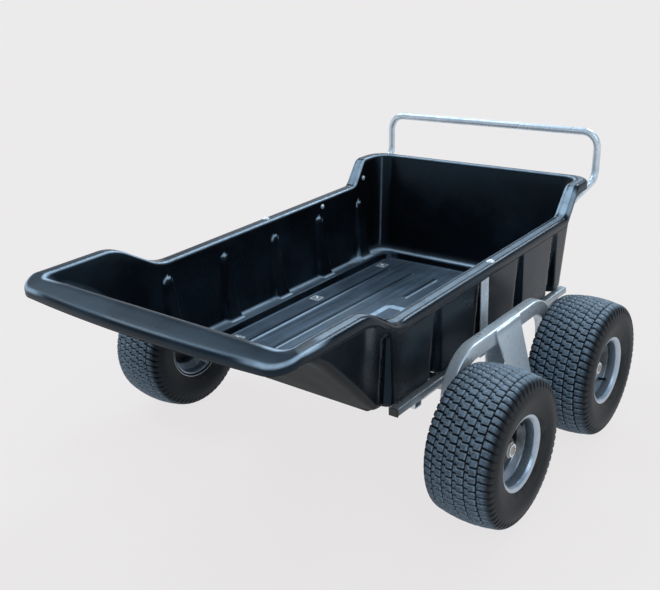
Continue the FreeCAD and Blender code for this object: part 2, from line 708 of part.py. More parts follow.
def side_prism(edges):
    """A closed outline in side view, made solid across the whole trailer."""
    half = value("sizes.lip_half") + CUT_MARGIN
    wire = Part.Wire(edges)
    wire.translate(Vector(0, -half, 0))
    return Part.Face(wire).extrude(Vector(0, 2 * half, 0))


def closing_lines(edges, corners):
    """Lines from the end of a row of edges through some corners back to its start."""
    first = edges[0].Vertexes[0].Point
    last = edges[-1].Vertexes[-1].Point
    stops = [last] + [in_side_view(*corner) for corner in corners] + [first]
    return [Part.makeLine(here, there) for here, there in zip(stops, stops[1:])]


def below_rim(drop):
    """Everything below the rim's top line, lowered by a distance square to it."""
    points, radii = rim_line()
    if drop:
        points, radii = shifted_line(points, radii, drop)
    edges = rounded_edges(points, radii, in_side_view)
    corners = [(points[-1][0], cut_foot()), (points[0][0], cut_foot())]
    return side_prism(edges + closing_lines(edges, corners))


def floor_line(lift):
    """The floor and the slope behind it in side view, raised square to the underside."""
    level = value("sizes.ledge_height - sizes.panel_drop - sizes.tub_wall")
    knee = -value("sizes.knee_behind")
    turn_up = value("sizes.slope_turn_height")
    turn = knee - (turn_up - level) / math.tan(math.radians(value("sizes.slope_angle")))
    top = cut_top()
    end = turn - (top - turn_up) / math.tan(math.radians(value("sizes.lip_slope_angle")))
    points = [(value("sizes.rim_front") + CUT_MARGIN, level), (knee, level),
              (turn, turn_up), (end, top)]
    radii = [0, value("sizes.knee_bend"), value("sizes.slope_turn_bend"), 0]
    return shifted_line(points, radii, lift) if lift else (points, radii)


def above_floor(lift):
    """Everything above the floor line."""
    points, radii = floor_line(lift)
    edges = rounded_edges(points, radii, in_side_view)
    ceiling = cut_top() + CUT_MARGIN
    corners = [(points[-1][0], ceiling), (points[0][0], ceiling)]
    return side_prism(edges + closing_lines(edges, corners))


def plan_block(half, front, corner, bottom, top, side_rise=0, front_rise=0):
    """A block with round front corners in plan, its walls drafted outwards to its top."""
    wires = []
    for level, side, ahead in ((bottom, half, front),
                               (top, half + side_rise, front + front_rise)):
        rear = -value("sizes.lip_reach") - 2 * CUT_MARGIN
        outline = rounded_edges([(rear, -side), (ahead, -side), (ahead, side), (rear, side)],
                                [0, corner, corner, 0], in_plan_view, closed=True)
        wire = Part.Wire(outline)
        wire.translate(Vector(0, 0, level))
        wires.append(wire)
    return Part.makeLoft(wires, True, True)


def walled_block(extra, bottom):
    """The tub's drafted block, larger than the cavity by a wall's thickness."""
    top = cut_top()
    ledge = value("sizes.ledge_height")
    side_slope = math.tan(math.radians(value("sizes.side_draft")))
    front_slope = math.tan(math.radians(value("sizes.front_draft")))
    low = bottom - ledge
    half = value("sizes.ledge_half") + extra + low * side_slope
    front = value("sizes.ledge_front") + extra + low * front_slope
    rise = top - bottom
    block = plan_block(half, front, value("sizes.corner_bend") + extra, bottom, top,
                       rise * side_slope, rise * front_slope)
    return block.fuse(flare_block(extra))


def flare_block(extra):
    """The side walls' flare towards the lip: none at the ledge, the rim's own at its crest.
    It starts a lap inside the walls, so that it comes out of them at an angle."""
    ledge = value("sizes.ledge_height")
    rise = cut_top() - ledge
    slope = math.tan(math.radians(value("sizes.side_draft")))
    crest_rise = value("sizes.hump_height - sizes.ledge_height")
    full = value("sizes.lip_half - sizes.rim_half") * rise / crest_rise
    start = -value("sizes.wall_flare_behind")
    end = value("sizes.flare_run_out - sizes.hump_behind")
    rear = -value("sizes.lip_reach") - 2 * CUT_MARGIN
    wires = []
    for up, flare in ((CUT_LAP, -CUT_LAP), (rise, full)):
        half = value("sizes.ledge_half") + extra + up * slope
        right = [Vector(start, CUT_LAP - half, ledge + up),
                 Vector(end, -half - flare, ledge + up),
                 Vector(rear, -half - flare, ledge + up)]
        left = [Vector(spot.x, -spot.y, spot.z) for spot in reversed(right)]
        wires.append(Part.makePolygon(right + left + right[:1]))
    return Part.makeLoft(wires, True, True)


def rib_block(side, ahead, shrink):
    """One wall rib as a tapering block that leans back into the wall at its head."""
    ledge = value("sizes.ledge_height")
    slope = math.tan(math.radians(value("sizes.side_draft")))
    height = value("sizes.rib_height")
    cap = value("sizes.rib_cap")
    rows = [
        (-value("sizes.rib_root"), value("sizes.rib_foot_half"), value("sizes.rib_foot_deep")),
        (height, value("sizes.rib_head_half"), value("sizes.rib_head_deep")),
        (height + cap, value("sizes.rib_head_half") - cap / 2, -CUT_LAP),
    ]
    wires = []
    for rise, half, deep in rows:
        face = value("sizes.ledge_half") + rise * slope - deep + shrink
        far = value("sizes.ledge_half") + CUT_MARGIN
        half -= shrink
        level = ledge + rise - (shrink if rise > 0 else 0)
        corners = [Vector(ahead - half, side * face, level),
                   Vector(ahead + half, side * face, level),
                   Vector(ahead + half, side * far, level),
                   Vector(ahead - half, side * far, level)]
        wires.append(Part.makePolygon(corners + corners[:1]))
    return Part.makeLoft(wires, True, True)


def rib_row(shrink):
    """All the wall ribs of both sides, or the grooves behind them when shrunk by a wall."""
    middle = value("sizes.rib_middle")
    pitch = value("sizes.rib_pitch")
    blocks = [rib_block(side, middle + step * pitch, shrink)
              for side in (-1, 1) for step in range(-2, 3)]
    return Part.makeCompound(blocks)


def rim_outline(inset):
    """The rim in plan: straight sides that flare out towards a bowed lip."""
    half = value("sizes.rim_half")
    lip_half = value("sizes.lip_half")
    rear = -value("sizes.lip_reach")
    corner_rear = rear + value("sizes.lip_bow")
    front = value("sizes.rim_front")
    corner = value("sizes.rim_corner")
    flare = value("sizes.flare_bend")
    flare_start = value("sizes.flare_lead - sizes.dip_behind")
    flare_end = value("sizes.flare_run_out - sizes.hump_behind")
    right = [(front, -half), (flare_start, -half), (flare_end, -lip_half),
             (corner_rear, -lip_half)]
    left = [(ahead, -side) for ahead, side in reversed(right)]
    radii = [corner, flare, flare, corner]
    bow_bend = value("sizes.lip_bow_bend")
    bow_angle = math.atan2(value("sizes.lip_bow"), lip_half)
    apex = rear - bow_bend * (1 / math.cos(bow_angle) - 1)
    points = right + [(apex, 0)] + left
    wire = rounded_wire(points, radii + [bow_bend] + radii[::-1], in_plan_view, closed=True)
    return wire.makeOffset2D(-inset) if inset else wire


def outline_prism(inset):
    """Everything inside the rim's outline, from below the floor to above the rim."""
    wire = rim_outline(inset)
    wire.translate(Vector(0, 0, cut_foot()))
    return Part.Face(wire).extrude(Vector(0, 0, cut_top() + 2 * CUT_MARGIN - cut_foot()))


def box_between(rear, front, half, bottom, top, middle=0):
    return Part.makeBox(front - rear, 2 * half, top - bottom,
                        Vector(rear, middle - half, bottom))


def tub_outside():
    """The tub as if solid, with the wall grooves cut and the recess's underside added."""
    wall = value("sizes.tub_wall")
    ledge = value("sizes.ledge_height")
    drop = value("sizes.panel_drop")
    panel = plan_block(value("sizes.panel_half") + wall, value("sizes.panel_front") + wall,
                       value("sizes.corner_bend") + wall, ledge - drop - wall, ledge)
    body = walled_block(wall, ledge - wall).fuse(panel)
    body = body.common(below_rim(0)).common(above_floor(0)).common(outline_prism(0))
    recess = box_between(-value("sizes.recess_rear") - wall, value("sizes.recess_front") + wall,
                         value("sizes.recess_half") + wall,
                         ledge - drop - wall - value("sizes.recess_deep"), ledge - drop - wall)
    return body.fuse(recess).cut(rib_row(wall))


def tub_cavity():
    """The load space: inside the walls, above the floor, around the ribs and the beads."""
    ledge = value("sizes.ledge_height")
    floor = ledge - value("sizes.panel_drop")
    panel = plan_block(value("sizes.panel_half"), value("sizes.panel_front"),
                       value("sizes.corner_bend"), floor - CUT_LAP, ledge + CUT_LAP)
    space = walled_block(0, ledge).fuse(panel).common(above_floor(value("sizes.tub_wall")))
    recess = box_between(-value("sizes.recess_rear"), value("sizes.recess_front"),
                         value("sizes.recess_half"), floor - value("sizes.recess_deep"),
                         floor + CUT_LAP)
    return space.fuse(recess).cut(rib_row(0)).cut(floor_beads(floor))


def floor_beads(floor):
    """The floor's raised beads: four long ones, and a short pair ahead of the recess."""
    front = value("sizes.bead_front")
    half = value("sizes.bead_wide") / 2
    high = value("sizes.bead_high")
    rear = value("sizes.bead_lead - sizes.knee_behind")
    inner = value("sizes.bead_inner")
    pitch = value("sizes.bead_pitch")
    short_rear = value("sizes.recess_front + sizes.bead_short_gap")
    rows = [(inner, short_rear), (inner + pitch, rear), (inner + 2 * pitch, rear)]
    boxes = [box_between(start, front, half, floor - CUT_LAP, floor + high, side * left)
             for left, start in rows for side in (-1, 1)]
    return Part.makeCompound(boxes)


def tub_rim():
    """The rim: a flange along the rim line with a skirt around its edge."""
    wall = value("sizes.tub_wall")
    top = below_rim(0)
    flange = outline_prism(0).common(top).cut(below_rim(wall))
    ring = outline_prism(0).cut(outline_prism(wall))
    skirt = ring.common(top).cut(below_rim(value("sizes.skirt_deep")))
    return flange.fuse(skirt)


def make_tub():
    outside = tub_outside().fuse(tub_rim())
    shell = outside.cut(tub_cavity()).removeSplitter()
    place(feature("tub", shell.Solids[0]))


# ---------------------------------------------------------------- bed

def make_rails():
    middle = "(sizes.rail_front - sizes.rail_rear) / 2"
    length = "sizes.rail_front + sizes.rail_rear"
    section = tube_section("sizes.rail_wide / 2", "sizes.rail_deep / 2", "sizes.rail_wall")
    centre = "(sizes.rail_face - sizes.rail_wide / 2)"
    height = f"{RAIL_TOP} - sizes.rail_deep / 2"
    caps = []
    for side, sign in SIDES:
        rail = padded(f"bed_rail_{side}", "YZ_Plane", section, length)
        place(rail, middle, f"{sign} * {centre}", height)
        cap_loop = rectangle("-sizes.rail_wide / 2", "-sizes.rail_deep / 2",
                             "sizes.rail_wide / 2", "sizes.rail_deep / 2")
        cap = padded(f"rail_cap_{side}", "YZ_Plane", [cap_loop], "sizes.cap_thick")
        place(cap, "-(sizes.rail_rear + sizes.cap_thick / 2)", f"{sign} * {centre}", height)
        caps.append(cap)
    gathered("rail_caps", caps)


def make_cross_members():
    spots = (("rear", "-sizes.hinge_behind"), ("middle", "sizes.middle_cross"),
             ("front", "sizes.front_cross"))
    section = tube_section("sizes.cross_wide / 2", "sizes.cross_deep / 2", "sizes.rail_wall")
    members = []
    for name, ahead in spots:
        member = padded(f"bed_cross_{name}", "XZ_Plane", section, "2 * sizes.rail_face")
        place(member, ahead, "0", f"{RAIL_FOOT} - sizes.cross_deep / 2")
        members.append(member)
    gathered("bed_cross_members", members)


def make_straps():
    """Flat straps up the sides, from the rails to a lap under the rim."""
    rise = "(sizes.dip_height + (sizes.step_foot_height - sizes.dip_height)" \
           " * (sizes.dip_behind + sizes.strap_ahead) / (sizes.dip_behind + sizes.step_foot))"
    top = f"({rise} - sizes.tub_wall - sizes.strap_gap)"
    face = "sizes.rail_face"
    thick = "sizes.strap_thick"
    outline = [
        (f"-{face}", RAIL_FOOT),
        (f"-{face}", f"{top} - {thick}"),
        (f"-{face}", top),
        (f"-({face} + sizes.strap_lap)", top),
        (f"-({face} + sizes.strap_lap)", f"{top} - {thick}"),
        (f"-({face} + {thick})", f"{top} - {thick}"),
        (f"-({face} + {thick})", RAIL_FOOT),
    ]
    for side, sign in SIDES:
        strap = padded(f"strap_{side}", "YZ_Plane", [outline], "sizes.strap_wide")
        place(strap, "sizes.strap_ahead", "0", "0", half_turn=sign > 0)


def handle_spots():
    """The bends of the handle's centre line, from its right tail across to its left tail."""
    half = value("sizes.handle_half")
    drop = value("sizes.tub_wall + sizes.tube_radius + sizes.handle_gap")
    tail = value("sizes.handle_tail")
    front_rim = value("sizes.front_height")
    front = value("sizes.handle_ahead")
    step = value("sizes.handle_step")
    right = [
        (tail, -half, rim_height(tail) - drop),
        (value("sizes.step_foot") + step, -half, value("sizes.step_foot_height") - drop),
        (value("sizes.step_top") + step, -half, front_rim - value("sizes.handle_step_drop")),
        (front - value("sizes.handle_lean"), -half,
         front_rim - value("sizes.handle_front_drop")),
        (front, -half, value("sizes.handle_height")),
    ]
    left = [(ahead, -side, up) for ahead, side, up in reversed(right)]
    return [Vector(*spot) for spot in right + left]


def make_handle():
    """The push handle: a round tube along both rims, up past the front wall and across."""
    radius = value("sizes.tube_radius")
    bend = value("sizes.handle_bend")
    spots = handle_spots()
    radii = [0, bend, bend, value("sizes.handle_front_bend"), bend]
    path = tube_path(spots, radii + radii[::-1])
    start = spots[0]
    heading = spots[1] - spots[0]
    tube = swept_tube(path, start, heading, radius)
    bore = swept_tube(path, start, heading, radius - value("sizes.tube_wall"))
    inset = value("sizes.boss_inset")
    rear_boss = start + heading * (inset / heading.x)
    front_boss = (value("sizes.step_top - sizes.boss_lag"),
                  value("sizes.front_height - sizes.boss_drop"))
    for ahead, up in ((rear_boss.x, rear_boss.z), front_boss):
        for side in (-1, 1):
            tube = tube.fuse(handle_boss(ahead, side, up))
    place(feature("push_handle", tube.cut(bore)))


def handle_boss(ahead, side, up):
    """A bolting boss from the handle's tube to the tub's side wall."""
    rise = up - value("sizes.ledge_height")
    slope = math.tan(math.radians(value("sizes.side_draft")))
    end = value("sizes.ledge_half + sizes.tub_wall + sizes.boss_gap") + rise * slope
    return Part.makeCylinder(value("sizes.boss_radius"), value("sizes.handle_half") - end,
                             Vector(ahead, side * end, up), Vector(0, side, 0))


def tube_path(spots, radii):
    """A path in space: straight runs joined by tangent arcs."""
    edges = []
    last = spots[0]
    for number in range(1, len(spots) - 1):
        here = spots[number]
        back = (spots[number - 1] - here).normalize()
        onward = (spots[number + 1] - here).normalize()
        half_angle = back.getAngle(onward) / 2
        radius = radii[number]
        setback = radius / math.tan(half_angle)
        middle = (back + onward).normalize()
        crest = here + middle * (radius / math.sin(half_angle) - radius)
        start = here + back * setback
        end = here + onward * setback
        edges.append(Part.makeLine(last, start))
        edges.append(Part.Arc(start, crest, end).toShape())
        last = end
    edges.append(Part.makeLine(last, spots[-1]))
    return Part.Wire(edges)


def swept_tube(path, start, heading, radius):
    circle = Part.Wire(Part.makeCircle(radius, start, heading))
    return path.makePipeShell([circle], True, False)


def make_hinge_eyes():
    """Two pairs of eye plates under the rear cross member, each astride a hinge lug."""
    shift = "((sizes.lug_thick + sizes.eye_thick) / 2 + sizes.face_gap)"
    eyes = []
    for side, sign in SIDES:
        for place_name, way in (("inner", -1), ("outer", 1)):
            loop = [("-sizes.hinge_eye_radius", f"{CROSS_FOOT} - sizes.hinge_height"),
                    ("-sizes.hinge_eye_radius", "0", "-sizes.hinge_eye_radius"),
                    ("sizes.hinge_eye_radius", "0"),
                    ("sizes.hinge_eye_radius", f"{CROSS_FOOT} - sizes.hinge_height")]
            eye = padded(f"bed_eye_{place_name}_{side}", "XZ_Plane", [loop], "sizes.eye_thick",
                         circles=[(("0", "0"), "sizes.hinge_pin_radius + sizes.running_gap")])
            place(eye, "-sizes.hinge_behind",
                  f"{sign} * (sizes.hinge_spread + {way} * {shift})", "sizes.hinge_height")
            eyes.append(eye)
    gathered("bed_hinge_eyes", eyes)


def make_bed_tongue():
    """A guide tongue under the front cross member that drops into the drawbar's keeper."""
    half = "sizes.tongue_wide / 2"
    loop = rectangle(f"-{half}", "-sizes.tongue_deep", half, "0")
    tongue = padded("bed_tongue", "XZ_Plane", [loop], "sizes.tongue_thick")
    place(tongue, "sizes.front_cross",
          "sizes.bar_box / 2 + sizes.latch_gap + sizes.tongue_thick / 2", CROSS_FOOT)


# ---------------------------------------------------------------- chassis

def make_drawbar():
    section = tube_section("sizes.bar_box / 2", "sizes.bar_box / 2", "sizes.axle_wall")
    rear = "(-sizes.hinge_behind)"
    bar = padded("drawbar", "YZ_Plane", section, f"{BAR_FRONT} - {rear}")
    place(bar, f"({BAR_FRONT} + {rear}) / 2", "0", BAR_MIDDLE)


def make_cross_axle():
    section = tube_section("sizes.axle_box / 2", "sizes.axle_box / 2", "sizes.axle_wall")
    axle = padded("cross_axle", "XZ_Plane", section, f"2 * {AXLE_END}")
    place(axle, "0", "0", "sizes.spindle_height")


def make_hitch():
    """The hitch tongue: a plate on the drawbar's top with a round eye and a pin hole."""
    eye = "(sizes.hitch_reach - sizes.hitch_half_width)"
    tail = f"({BAR_FRONT} - sizes.hitch_lap)"
    half = "sizes.hitch_half_width"
    narrow = "(sizes.bar_box / 2)"
    loop = [(tail, f"-{narrow}"), (BAR_FRONT, f"-{narrow}"), (eye, f"-{half}", f"-{half}"),
            (eye, half), (BAR_FRONT, narrow), (tail, narrow)]
    tongue = padded("hitch_tongue", "XY_Plane", [loop], "sizes.hitch_plate",
                    circles=[((eye, "0"), "sizes.hitch_bore")])
    place(tongue, "0", "0", f"{BAR_TOP} + sizes.hitch_plate / 2")
    loop = rectangle("-sizes.bar_box / 2", "-sizes.bar_box / 2",
                     "sizes.bar_box / 2", "sizes.bar_box / 2")
    cap = padded("drawbar_cap", "YZ_Plane", [loop], "sizes.cap_thick")
    place(cap, f"{BAR_FRONT} + sizes.cap_thick / 2", "0", BAR_MIDDLE)


def make_braces():
    """Two braces from the ends of the cross axle forward to the sides of the drawbar."""
    half = value("sizes.brace_side / 2")
    spread = value("sizes.brace_spread")
    reach = value("sizes.brace_reach")
    bottom = value(BAR_FOOT)
    bar_side = value("sizes.bar_box / 2")
    rear = value("sizes.axle_box / 2")
    for side, sign in SIDES:
        run = Vector(reach + rear, sign * (bar_side - spread), 0)
        across = Vector(-run.y, run.x, 0).normalize() * half
        start = Vector(-rear, sign * spread, bottom)
        # Twice the run, so that the bar's side cuts the brace off at its full width.
        end = start + run * 2
        brace = prism([start - across, end - across, end + across, start + across],
                      Vector(0, 0, 2 * half))
        beside = Part.makeBox(2 * reach, 2 * spread, 2 * half,
                              Vector(-reach / 2, bar_side if sign > 0 else
                                     -bar_side - 2 * spread, bottom))
        place(feature(f"drawbar_brace_{side}", brace.common(beside)))


def make_hinge_beam():
    """The hinge beam under the drawbar's rear end, on two struts from the cross axle."""
    half = "sizes.hinge_beam_side / 2"
    section = tube_section(half, half, "sizes.axle_wall")
    length = "2 * (sizes.hinge_spread + sizes.hinge_beam_end)"
    beam = padded("hinge_beam", "XZ_Plane", section, length)
    height = f"{BAR_FOOT} - {half}"
    place(beam, "-sizes.hinge_behind", "0", height)
    strut_length = f"(sizes.hinge_behind - {half} - sizes.axle_box / 2)"
    strut_middle = f"-(sizes.hinge_behind - {half} + sizes.axle_box / 2) / 2"
    loop = rectangle("-sizes.strut_wide / 2", f"-{half}", "sizes.strut_wide / 2", half)
    struts = []
    for side, sign in SIDES:
        strut = padded(f"hinge_strut_{side}", "YZ_Plane", [loop], strut_length)
        place(strut, strut_middle, f"{sign} * sizes.hinge_spread", height)
        struts.append(strut)
    gathered("hinge_struts", struts)


def make_hinge_lugs():
    """An upright lug on the hinge beam at each side, with its pin."""
    eye = "sizes.hinge_eye_radius"
    foot = f"{BAR_FOOT} - sizes.hinge_height"
    head = "sizes.hinge_pin_radius + sizes.pin_head"
    grip = "(sizes.lug_thick / 2 + sizes.eye_thick + 2 * sizes.face_gap)"
    end = f"({grip} + sizes.pin_head)"
    lugs = []
    pins = []
    for side, sign in SIDES:
        loop = [(f"-{eye}", foot), (eye, foot), (eye, "0", f"-{eye}"), (f"-{eye}", "0")]
        lug = padded(f"hinge_lug_{side}", "XZ_Plane", [loop], "sizes.lug_thick",
                     circles=[(("0", "0"), "sizes.hinge_pin_radius + sizes.running_gap")])
        pin = turned(f"hinge_pin_{side}", [
            (f"-{end}", "0"), (f"-{end}", head), (f"-{grip}", head),
            (f"-{grip}", "sizes.hinge_pin_radius"), (grip, "sizes.hinge_pin_radius"),
            (grip, head), (end, head), (end, "0")])
        for piece, group in ((lug, lugs), (pin, pins)):
            place(piece, "-sizes.hinge_behind", f"{sign} * sizes.hinge_spread",
                  "sizes.hinge_height")
            group.append(piece)
    gathered("hinge_lugs", lugs)
    gathered("hinge_pins", pins)


def make_rest_and_keeper():
    """The pad that the bed's front rests on, and the keeper beside the drawbar."""
    loop = rectangle("-sizes.cross_wide / 2", "0", "sizes.cross_wide / 2",
                     f"{CROSS_FOOT} - {BAR_TOP} - sizes.pad_gap")
    pad = padded("bed_rest_pad", "XZ_Plane", [loop], "sizes.pad_wide")
    place(pad, "sizes.front_cross", "0", BAR_TOP)
    bar_side = "sizes.bar_box / 2"
    inside = "(sizes.tongue_wide / 2 + sizes.latch_gap)"
    outside = f"({inside} + sizes.plate_thick)"
    depth = f"({bar_side} + 2 * sizes.latch_gap + sizes.tongue_thick)"
    back = f"({depth} + sizes.plate_thick)"
    loop = [(f"-{outside}", bar_side), (f"-{inside}", bar_side), (f"-{inside}", depth),
            (inside, depth), (inside, bar_side), (outside, bar_side), (outside, back),
            (f"-{outside}", back)]
    keeper = padded("bed_keeper", "XY_Plane", [loop], "sizes.keeper_deep")
    place(keeper, "sizes.front_cross", "0", BAR_MIDDLE)


# ---------------------------------------------------------------- drop leg

STAND_X = "(sizes.hitch_reach - sizes.stand_behind)"
STAND_Y = "-(sizes.bar_box / 2 + sizes.stand_thick + sizes.face_gap + sizes.stand_tube_radius)"


def make_stand_bracket():
    """A bracket plate on the drawbar's right side with the drop leg's pin."""
    half = "sizes.stand_bracket_half"
    loop = rectangle(f"-{half}", "-sizes.bar_box / 2", half, "sizes.bar_box / 2")
    plate = padded("stand_plate", "XZ_Plane", [loop], "sizes.stand_thick")
    place(plate, STAND_X, "-(sizes.bar_box + sizes.stand_thick) / 2", BAR_MIDDLE)
    reach = "(sizes.stand_tube_radius * 2 + 2 * sizes.face_gap)"
    head = "sizes.stand_pin_radius + sizes.pin_head"
    pin = turned("stand_pin", [
        ("0", "0"), ("0", "sizes.stand_pin_radius"), (f"-{reach}", "sizes.stand_pin_radius"),
        (f"-{reach}", head), (f"-{reach} - sizes.pin_head", head),
        (f"-{reach} - sizes.pin_head", "0")])
    place(pin, STAND_X, "-(sizes.bar_box / 2 + sizes.stand_thick)", BAR_MIDDLE)
    bracket = doc.addObject("Part::MultiFuse", "stand_bracket")
    bracket.Label = "stand_bracket"
    bracket.Shapes = [plate, pin]


def make_drop_leg():
    """The drop leg: a tube from its pin down to a square foot plate on the ground."""
    radius = value("sizes.stand_tube_radius")
    pivot = value(BAR_MIDDLE)
    foot = value("sizes.foot_thick")
    solid_top = value("sizes.stand_solid_top")
    tube = Part.makeCylinder(radius, pivot + value("sizes.stand_above") - foot,
                             Vector(0, 0, foot))
    bore = Part.makeCylinder(radius - value("sizes.stand_wall"), pivot - solid_top - foot,
                             Vector(0, 0, foot))
    hole = Part.makeCylinder(value("sizes.stand_pin_radius + sizes.running_gap"), 4 * radius,
                             Vector(0, -2 * radius, pivot), Vector(0, 1, 0))
    leg = feature("drop_leg", tube.cut(bore).cut(hole))
    place(leg, STAND_X, STAND_Y, "0")
    loop = rectangle("-sizes.foot_half", "-sizes.foot_half", "sizes.foot_half",
                     "sizes.stand_tube_radius")
    plate = padded("drop_leg_foot", "XY_Plane", [loop], "sizes.foot_thick")
    place(plate, STAND_X, STAND_Y, "sizes.foot_thick / 2")


# ---------------------------------------------------------------- build and write

def build():
    make_wheels()
    make_bogies()
    make_tub()
    make_rails()
    make_cross_members()
    make_straps()
    make_handle()
    make_hinge_eyes()
    make_bed_tongue()
    make_drawbar()
    make_cross_axle()
    make_hitch()
    make_braces()
    make_hinge_beam()
    make_hinge_lugs()
    make_rest_and_keeper()
    make_stand_bracket()
    make_drop_leg()
    doc.recompute()


def finished_pieces():
    """The document's nodes: every body, feature or group that is not part of another."""
    kinds = ("PartDesign::Body", "Part::Feature", "Part::Compound", "Part::MultiFuse")
    inside = {item.Name for group in doc.Objects
              if group.TypeId in ("Part::Compound", "Part::MultiFuse")
              for item in group.OutList}
    return [item for item in doc.Objects if item.TypeId in kinds and item.Name not in inside]


def check_and_write():
    for item in doc.Objects:
        if "Invalid" in item.State or "Error" in item.State:
            raise RuntimeError(f"{item.Label} did not build: {item.State}")
    os.makedirs("parts", exist_ok=True)
    for item in finished_pieces():
        shape = item.Shape
        if shape.isNull() or not shape.isValid() or not shape.Solids:
            raise RuntimeError(f"{item.Label} is not a sound solid")
        shape.exportStep(os.path.join("parts", item.Label + ".step"))
        print(f"{item.Label}: {len(shape.Solids)} solid, {shape.Volume / 1000:.0f} cm3")


build()
check_and_write()
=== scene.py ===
"""A tipping four-wheel trailer for an all-terrain vehicle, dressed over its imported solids.

Lengths are metres in the trailer's own frame: +X forward to the hitch, +Y left, +Z up. Places
along the trailer are given from the middle between its axles, as AXLE_X plus a distance.
"""
import json
import math

import bmesh
import bpy
import numpy as np
from bpy.props import FloatProperty, FloatVectorProperty, IntProperty, PointerProperty
from mathutils import Matrix, Vector


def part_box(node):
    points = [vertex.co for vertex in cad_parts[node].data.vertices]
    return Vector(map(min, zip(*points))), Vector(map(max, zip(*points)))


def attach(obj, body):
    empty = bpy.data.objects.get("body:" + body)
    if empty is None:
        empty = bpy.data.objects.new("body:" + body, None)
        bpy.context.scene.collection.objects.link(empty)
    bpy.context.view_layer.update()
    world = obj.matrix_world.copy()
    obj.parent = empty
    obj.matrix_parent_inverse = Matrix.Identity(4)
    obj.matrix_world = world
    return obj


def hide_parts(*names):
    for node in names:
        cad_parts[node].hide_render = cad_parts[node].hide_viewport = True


bl_info = {
    "name": "Tipping trailer",
    "version": (1, 0, 0),
    "blender": (4, 5, 0),
    "location": "View3D > Sidebar > Trailer",
    "description": "Surfaces and finishes of a tipping trailer over its solids",
    "category": "Object",
}

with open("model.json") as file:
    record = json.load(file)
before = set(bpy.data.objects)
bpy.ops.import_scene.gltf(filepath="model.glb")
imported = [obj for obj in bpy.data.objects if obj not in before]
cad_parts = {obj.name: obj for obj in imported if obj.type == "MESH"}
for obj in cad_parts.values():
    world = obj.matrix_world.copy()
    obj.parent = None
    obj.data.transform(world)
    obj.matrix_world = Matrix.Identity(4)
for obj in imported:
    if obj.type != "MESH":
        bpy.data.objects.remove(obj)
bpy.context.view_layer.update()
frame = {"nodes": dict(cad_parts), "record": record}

SIDES = (("right", -1), ("left", 1))
ENDS = (("rear", -1), ("front", 1))


def node_box(node):
    """Lowest and highest corner of a solid, as arrays."""
    low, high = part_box(node)
    return np.array(low), np.array(high)


def middle_of(node):
    """Half the sum of a box's corners."""
    low, high = node_box(node)
    return (low + high) / 2


AXLE_X = float(middle_of("tyre_rear_right")[0] + middle_of("tyre_front_right")[0]) / 2
WHEEL_HALF_BASE = float(middle_of("tyre_front_right")[0]) - AXLE_X
HALF_TRACK = float(middle_of("tyre_front_left")[1])
TYRE_RADIUS = float(node_box("tyre_front_left")[1][2]) / 2
TUB_LOW, TUB_HIGH = node_box("tub")
HANDLE_LOW, HANDLE_HIGH = node_box("push_handle")


# ---------------------------------------------------------------- sizes and colours

def length(name, default, description):
    """A setting in metres."""
    return FloatProperty(name=name, default=default, description=description,
                         unit="LENGTH", precision=4, min=0.0)


def angle(name, degrees, description):
    """A setting given in degrees and kept in radians."""
    return FloatProperty(name=name, default=math.radians(degrees), description=description,
                         subtype="ANGLE")


def colour(name, default, description):
    """A setting of red, green and blue."""
    return FloatVectorProperty(name=name, default=default, description=description,
                               subtype="COLOR", size=3, min=0.0, max=1.0)


def share(name, default, description):
    """A setting from 0 to 1."""
    return FloatProperty(name=name, default=default, description=description,
                         subtype="FACTOR", min=0.0, max=1.0)


